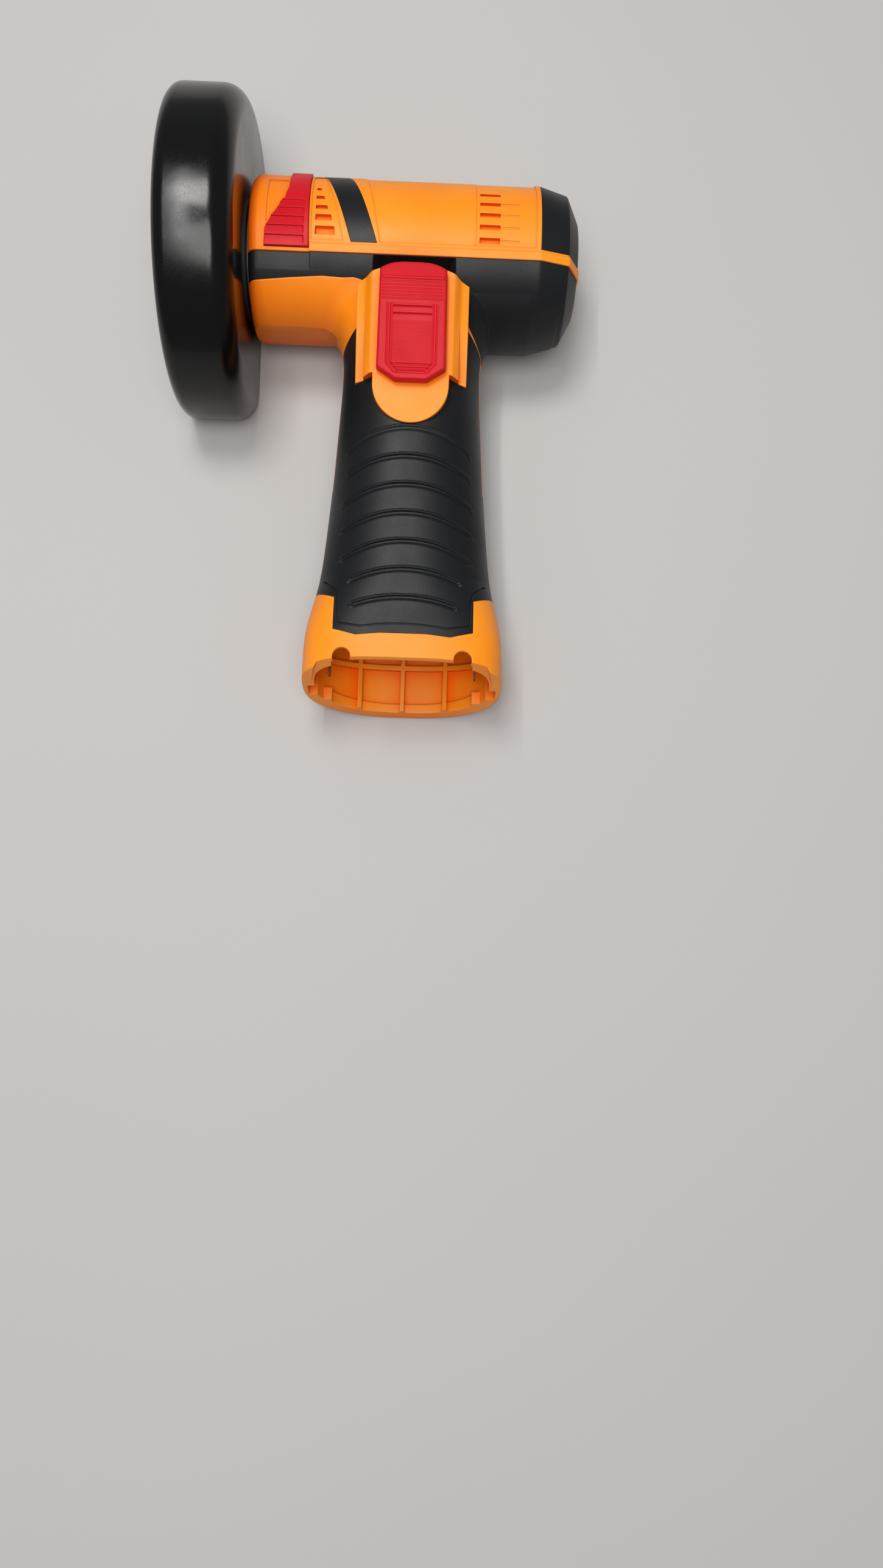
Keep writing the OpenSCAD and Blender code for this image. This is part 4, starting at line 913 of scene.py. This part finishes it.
def metal(name, colour, roughness, grain=1400):
    """Turned or stamped metal with fine tool marks."""
    look = Look(name)
    normal, edge_mask = look.edges(0.2)
    marks = look.noise(grain, 4, 0.65)
    tone = look.ramp(look.noise(120, 2), 0.3, 0.7, 0, 1)
    darker = tuple(0.75 * c for c in colour[:3]) + (1.0,)
    brighter = tuple(min(1, 1.15 * c) for c in colour[:3]) + (1.0,)
    base = look.mix(tone, colour, darker)
    rub = look.math("MULTIPLY", edge_mask, 0.6)
    look.set(look.shader.inputs["Base Color"], look.mix(rub, base, brighter))
    look.set(look.shader.inputs["Roughness"], look.ramp(marks, 0.3, 0.7, roughness - 0.08, roughness + 0.1))
    look.set(look.shader.inputs["Normal"], look.bump(marks, 0.15, 0.02, normal))
    look.shader.inputs["Metallic"].default_value = 1.0
    return look.material


# The last colour is painted shade: a deeper, redder orange laid into the recesses.
orange = plastic("orange_plastic", srgb(252, 149, 30), srgb(247, 141, 22), srgb(253, 176, 86),
                 0.45, 2600, 0.10, 0.45, 0.3, srgb(240, 98, 4))
soft_black = plastic("soft_black", srgb(25, 26, 28), srgb(19, 20, 22), srgb(56, 57, 60),
                     0.44, 4200, 0.6, 0.35, 0.25)
red = plastic("red_plastic", srgb(203, 22, 36), srgb(194, 17, 31), srgb(210, 44, 54),
              0.46, 2600, 0.12, 0.3, 0.16)
gloss_black = plastic("gloss_black", srgb(11, 11, 11), srgb(8, 8, 8), srgb(30, 30, 31),
                      0.2, 2200, 0.02, 0.4, 0.3)
dark_plastic = plastic("dark_plastic", srgb(44, 44, 46), srgb(36, 36, 38), srgb(74, 74, 76),
                       0.5, 2600, 0.2)
grey_plastic = plastic("grey_plastic", srgb(138, 138, 142), srgb(126, 126, 130), srgb(172, 172, 176),
                       0.45, 2600, 0.15)
ivory_plastic = plastic("ivory_plastic", srgb(232, 226, 206), srgb(222, 215, 192), srgb(242, 238, 226),
                        0.45, 2600, 0.1)
steel = metal("steel", srgb(190, 190, 194), 0.3)
brass = metal("brass", srgb(206, 170, 96), 0.34)
tarnished = metal("tarnished_metal", srgb(120, 84, 58), 0.42)
copper = metal("copper_winding", srgb(176, 100, 62), 0.36, 2600)
magnet = plastic("magnet", srgb(70, 70, 74), srgb(58, 58, 62), srgb(100, 100, 104), 0.6, 2000, 0.3)

NODE_LOOKS = {
    "front_shell": orange, "back_shell": orange,
    "front_handle_grip": soft_black, "back_handle_grip": soft_black,
    "front_barrel_grip": soft_black, "back_barrel_grip": soft_black,
    "front_band": soft_black, "back_band": soft_black,
    "front_rear_pad": soft_black, "back_rear_pad": soft_black,
    "switch_slider": red, "switch_knob": dark_plastic, "slide_switch": grey_plastic,
    "switch_bracket": grey_plastic, "bracket_screws": steel, "lock_button": red, "lock_spring": steel,
    "guard": gloss_black, "guard_ring": steel, "guard_screws": steel, "gear_housing": grey_plastic,
    "gear_plate": grey_plastic, "front_bush": brass, "rear_bush": brass, "spindle": steel,
    "spindle_gear": brass, "layshaft": steel, "layshaft_gear": ivory_plastic, "inner_flange": steel,
    "outer_flange": steel, "clamp_screw": steel, "motor_can": steel, "motor_magnets": magnet,
    "motor_bush": brass, "motor_end_bell": dark_plastic, "motor_brushes": brass, "armature": copper,
    "motor_shaft": steel, "commutator": copper, "motor_pinion": brass, "motor_screws": steel,
    "gearbox_screws": steel, "housing_screws": steel, "contact_carrier": dark_plastic,
    "battery_contacts": brass, "left_latch_spring": tarnished, "right_latch_spring": tarnished,
    "battery_lead": red, "motor_lead": red, "return_lead": dark_plastic,
}
for node_name, node_look in NODE_LOOKS.items():
    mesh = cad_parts[node_name].data
    mesh.materials.clear()
    mesh.materials.append(node_look)

# Pieces

shell_halves()
pads()
slider_piece()
lock_piece()
guard_piece()
for tool in tools:
    bpy.data.objects.remove(tool)

# Stage

scene = bpy.context.scene
scene.view_settings.view_transform = "Standard"

bpy.ops.mesh.primitive_plane_add(size=6, location=(HANDLE_X * MM, -0.06, FLOOR_Z))
floor = bpy.context.object
floor.name = "floor"
floor_look = Look("floor")
floor_tone = floor_look.noise(3, 2)
floor_look.set(floor_look.shader.inputs["Base Color"],
               floor_look.mix(floor_tone, srgb(190, 188, 186), srgb(184, 182, 180)))
floor_look.shader.inputs["Roughness"].default_value = 0.8
floor.data.materials.append(floor_look.material)

world = bpy.data.worlds.new("studio")
world.use_nodes = True
world.node_tree.nodes["Background"].inputs["Color"].default_value = (0.92, 0.95, 1.0, 1.0)
world.node_tree.nodes["Background"].inputs["Strength"].default_value = 0.22
scene.world = world


def soft_light(name, place, target, size, power, colour=(1, 1, 1)):
    """An elliptical area lamp turned towards a target."""
    data = bpy.data.lights.new(name, "AREA")
    data.shape = "ELLIPSE"
    data.size, data.size_y = size
    data.energy = power
    data.color = colour
    lamp = bpy.data.objects.new(name, data)
    lamp.location = place
    lamp.rotation_euler = (Vector(target) - Vector(place)).to_track_quat("-Z", "Y").to_euler()
    scene.collection.objects.link(lamp)


middle = (HANDLE_X * MM, -0.05, 0.0)
soft_light("main", (0.03, -0.30, 0.90), middle, (0.5, 0.5), 4.5, (1.0, 0.99, 0.97))
soft_light("back", (-0.06, 0.21, 0.87), middle, (0.27, 0.27), 3.1, (1.0, 0.98, 0.95))
soft_light("tube", (-0.18, 0.12, 0.87), (-0.18, 0.13, 0.0), (0.03, 0.8), 1.9)

# Camera: the photograph's own place, turned back into the CAD frame
PHOTO_H, PHOTO_F = 2576, 1935.0
CAMERA_AT = Vector((0, -175.15, 317.95))
CAMERA_TILT = math.radians(4.9)
LIES_AT = Vector((-7.4, -2.0, 0.0))
turned = Matrix.Rotation(math.radians(-1.65), 3, "Z") @ Matrix.Rotation(math.radians(1.5), 3, "Y")
back = turned.transposed()
right = back @ Vector((1, 0, 0))
up = back @ Vector((0, math.cos(CAMERA_TILT), math.sin(CAMERA_TILT)))
towards = back @ Vector((0, -math.sin(CAMERA_TILT), math.cos(CAMERA_TILT)))
camera_data = bpy.data.cameras.new("camera")
camera_data.sensor_width = 36.0
camera_data.lens = 36.0 * PHOTO_F / PHOTO_H
camera_data.clip_start = 0.01
camera = bpy.data.objects.new("camera", camera_data)
place = Matrix((right, up, towards)).transposed().to_4x4()
place.translation = (back @ (CAMERA_AT - LIES_AT) + Vector((HANDLE_X, 0, 0))) * MM
camera.matrix_world = place
scene.collection.objects.link(camera)
scene.camera = camera
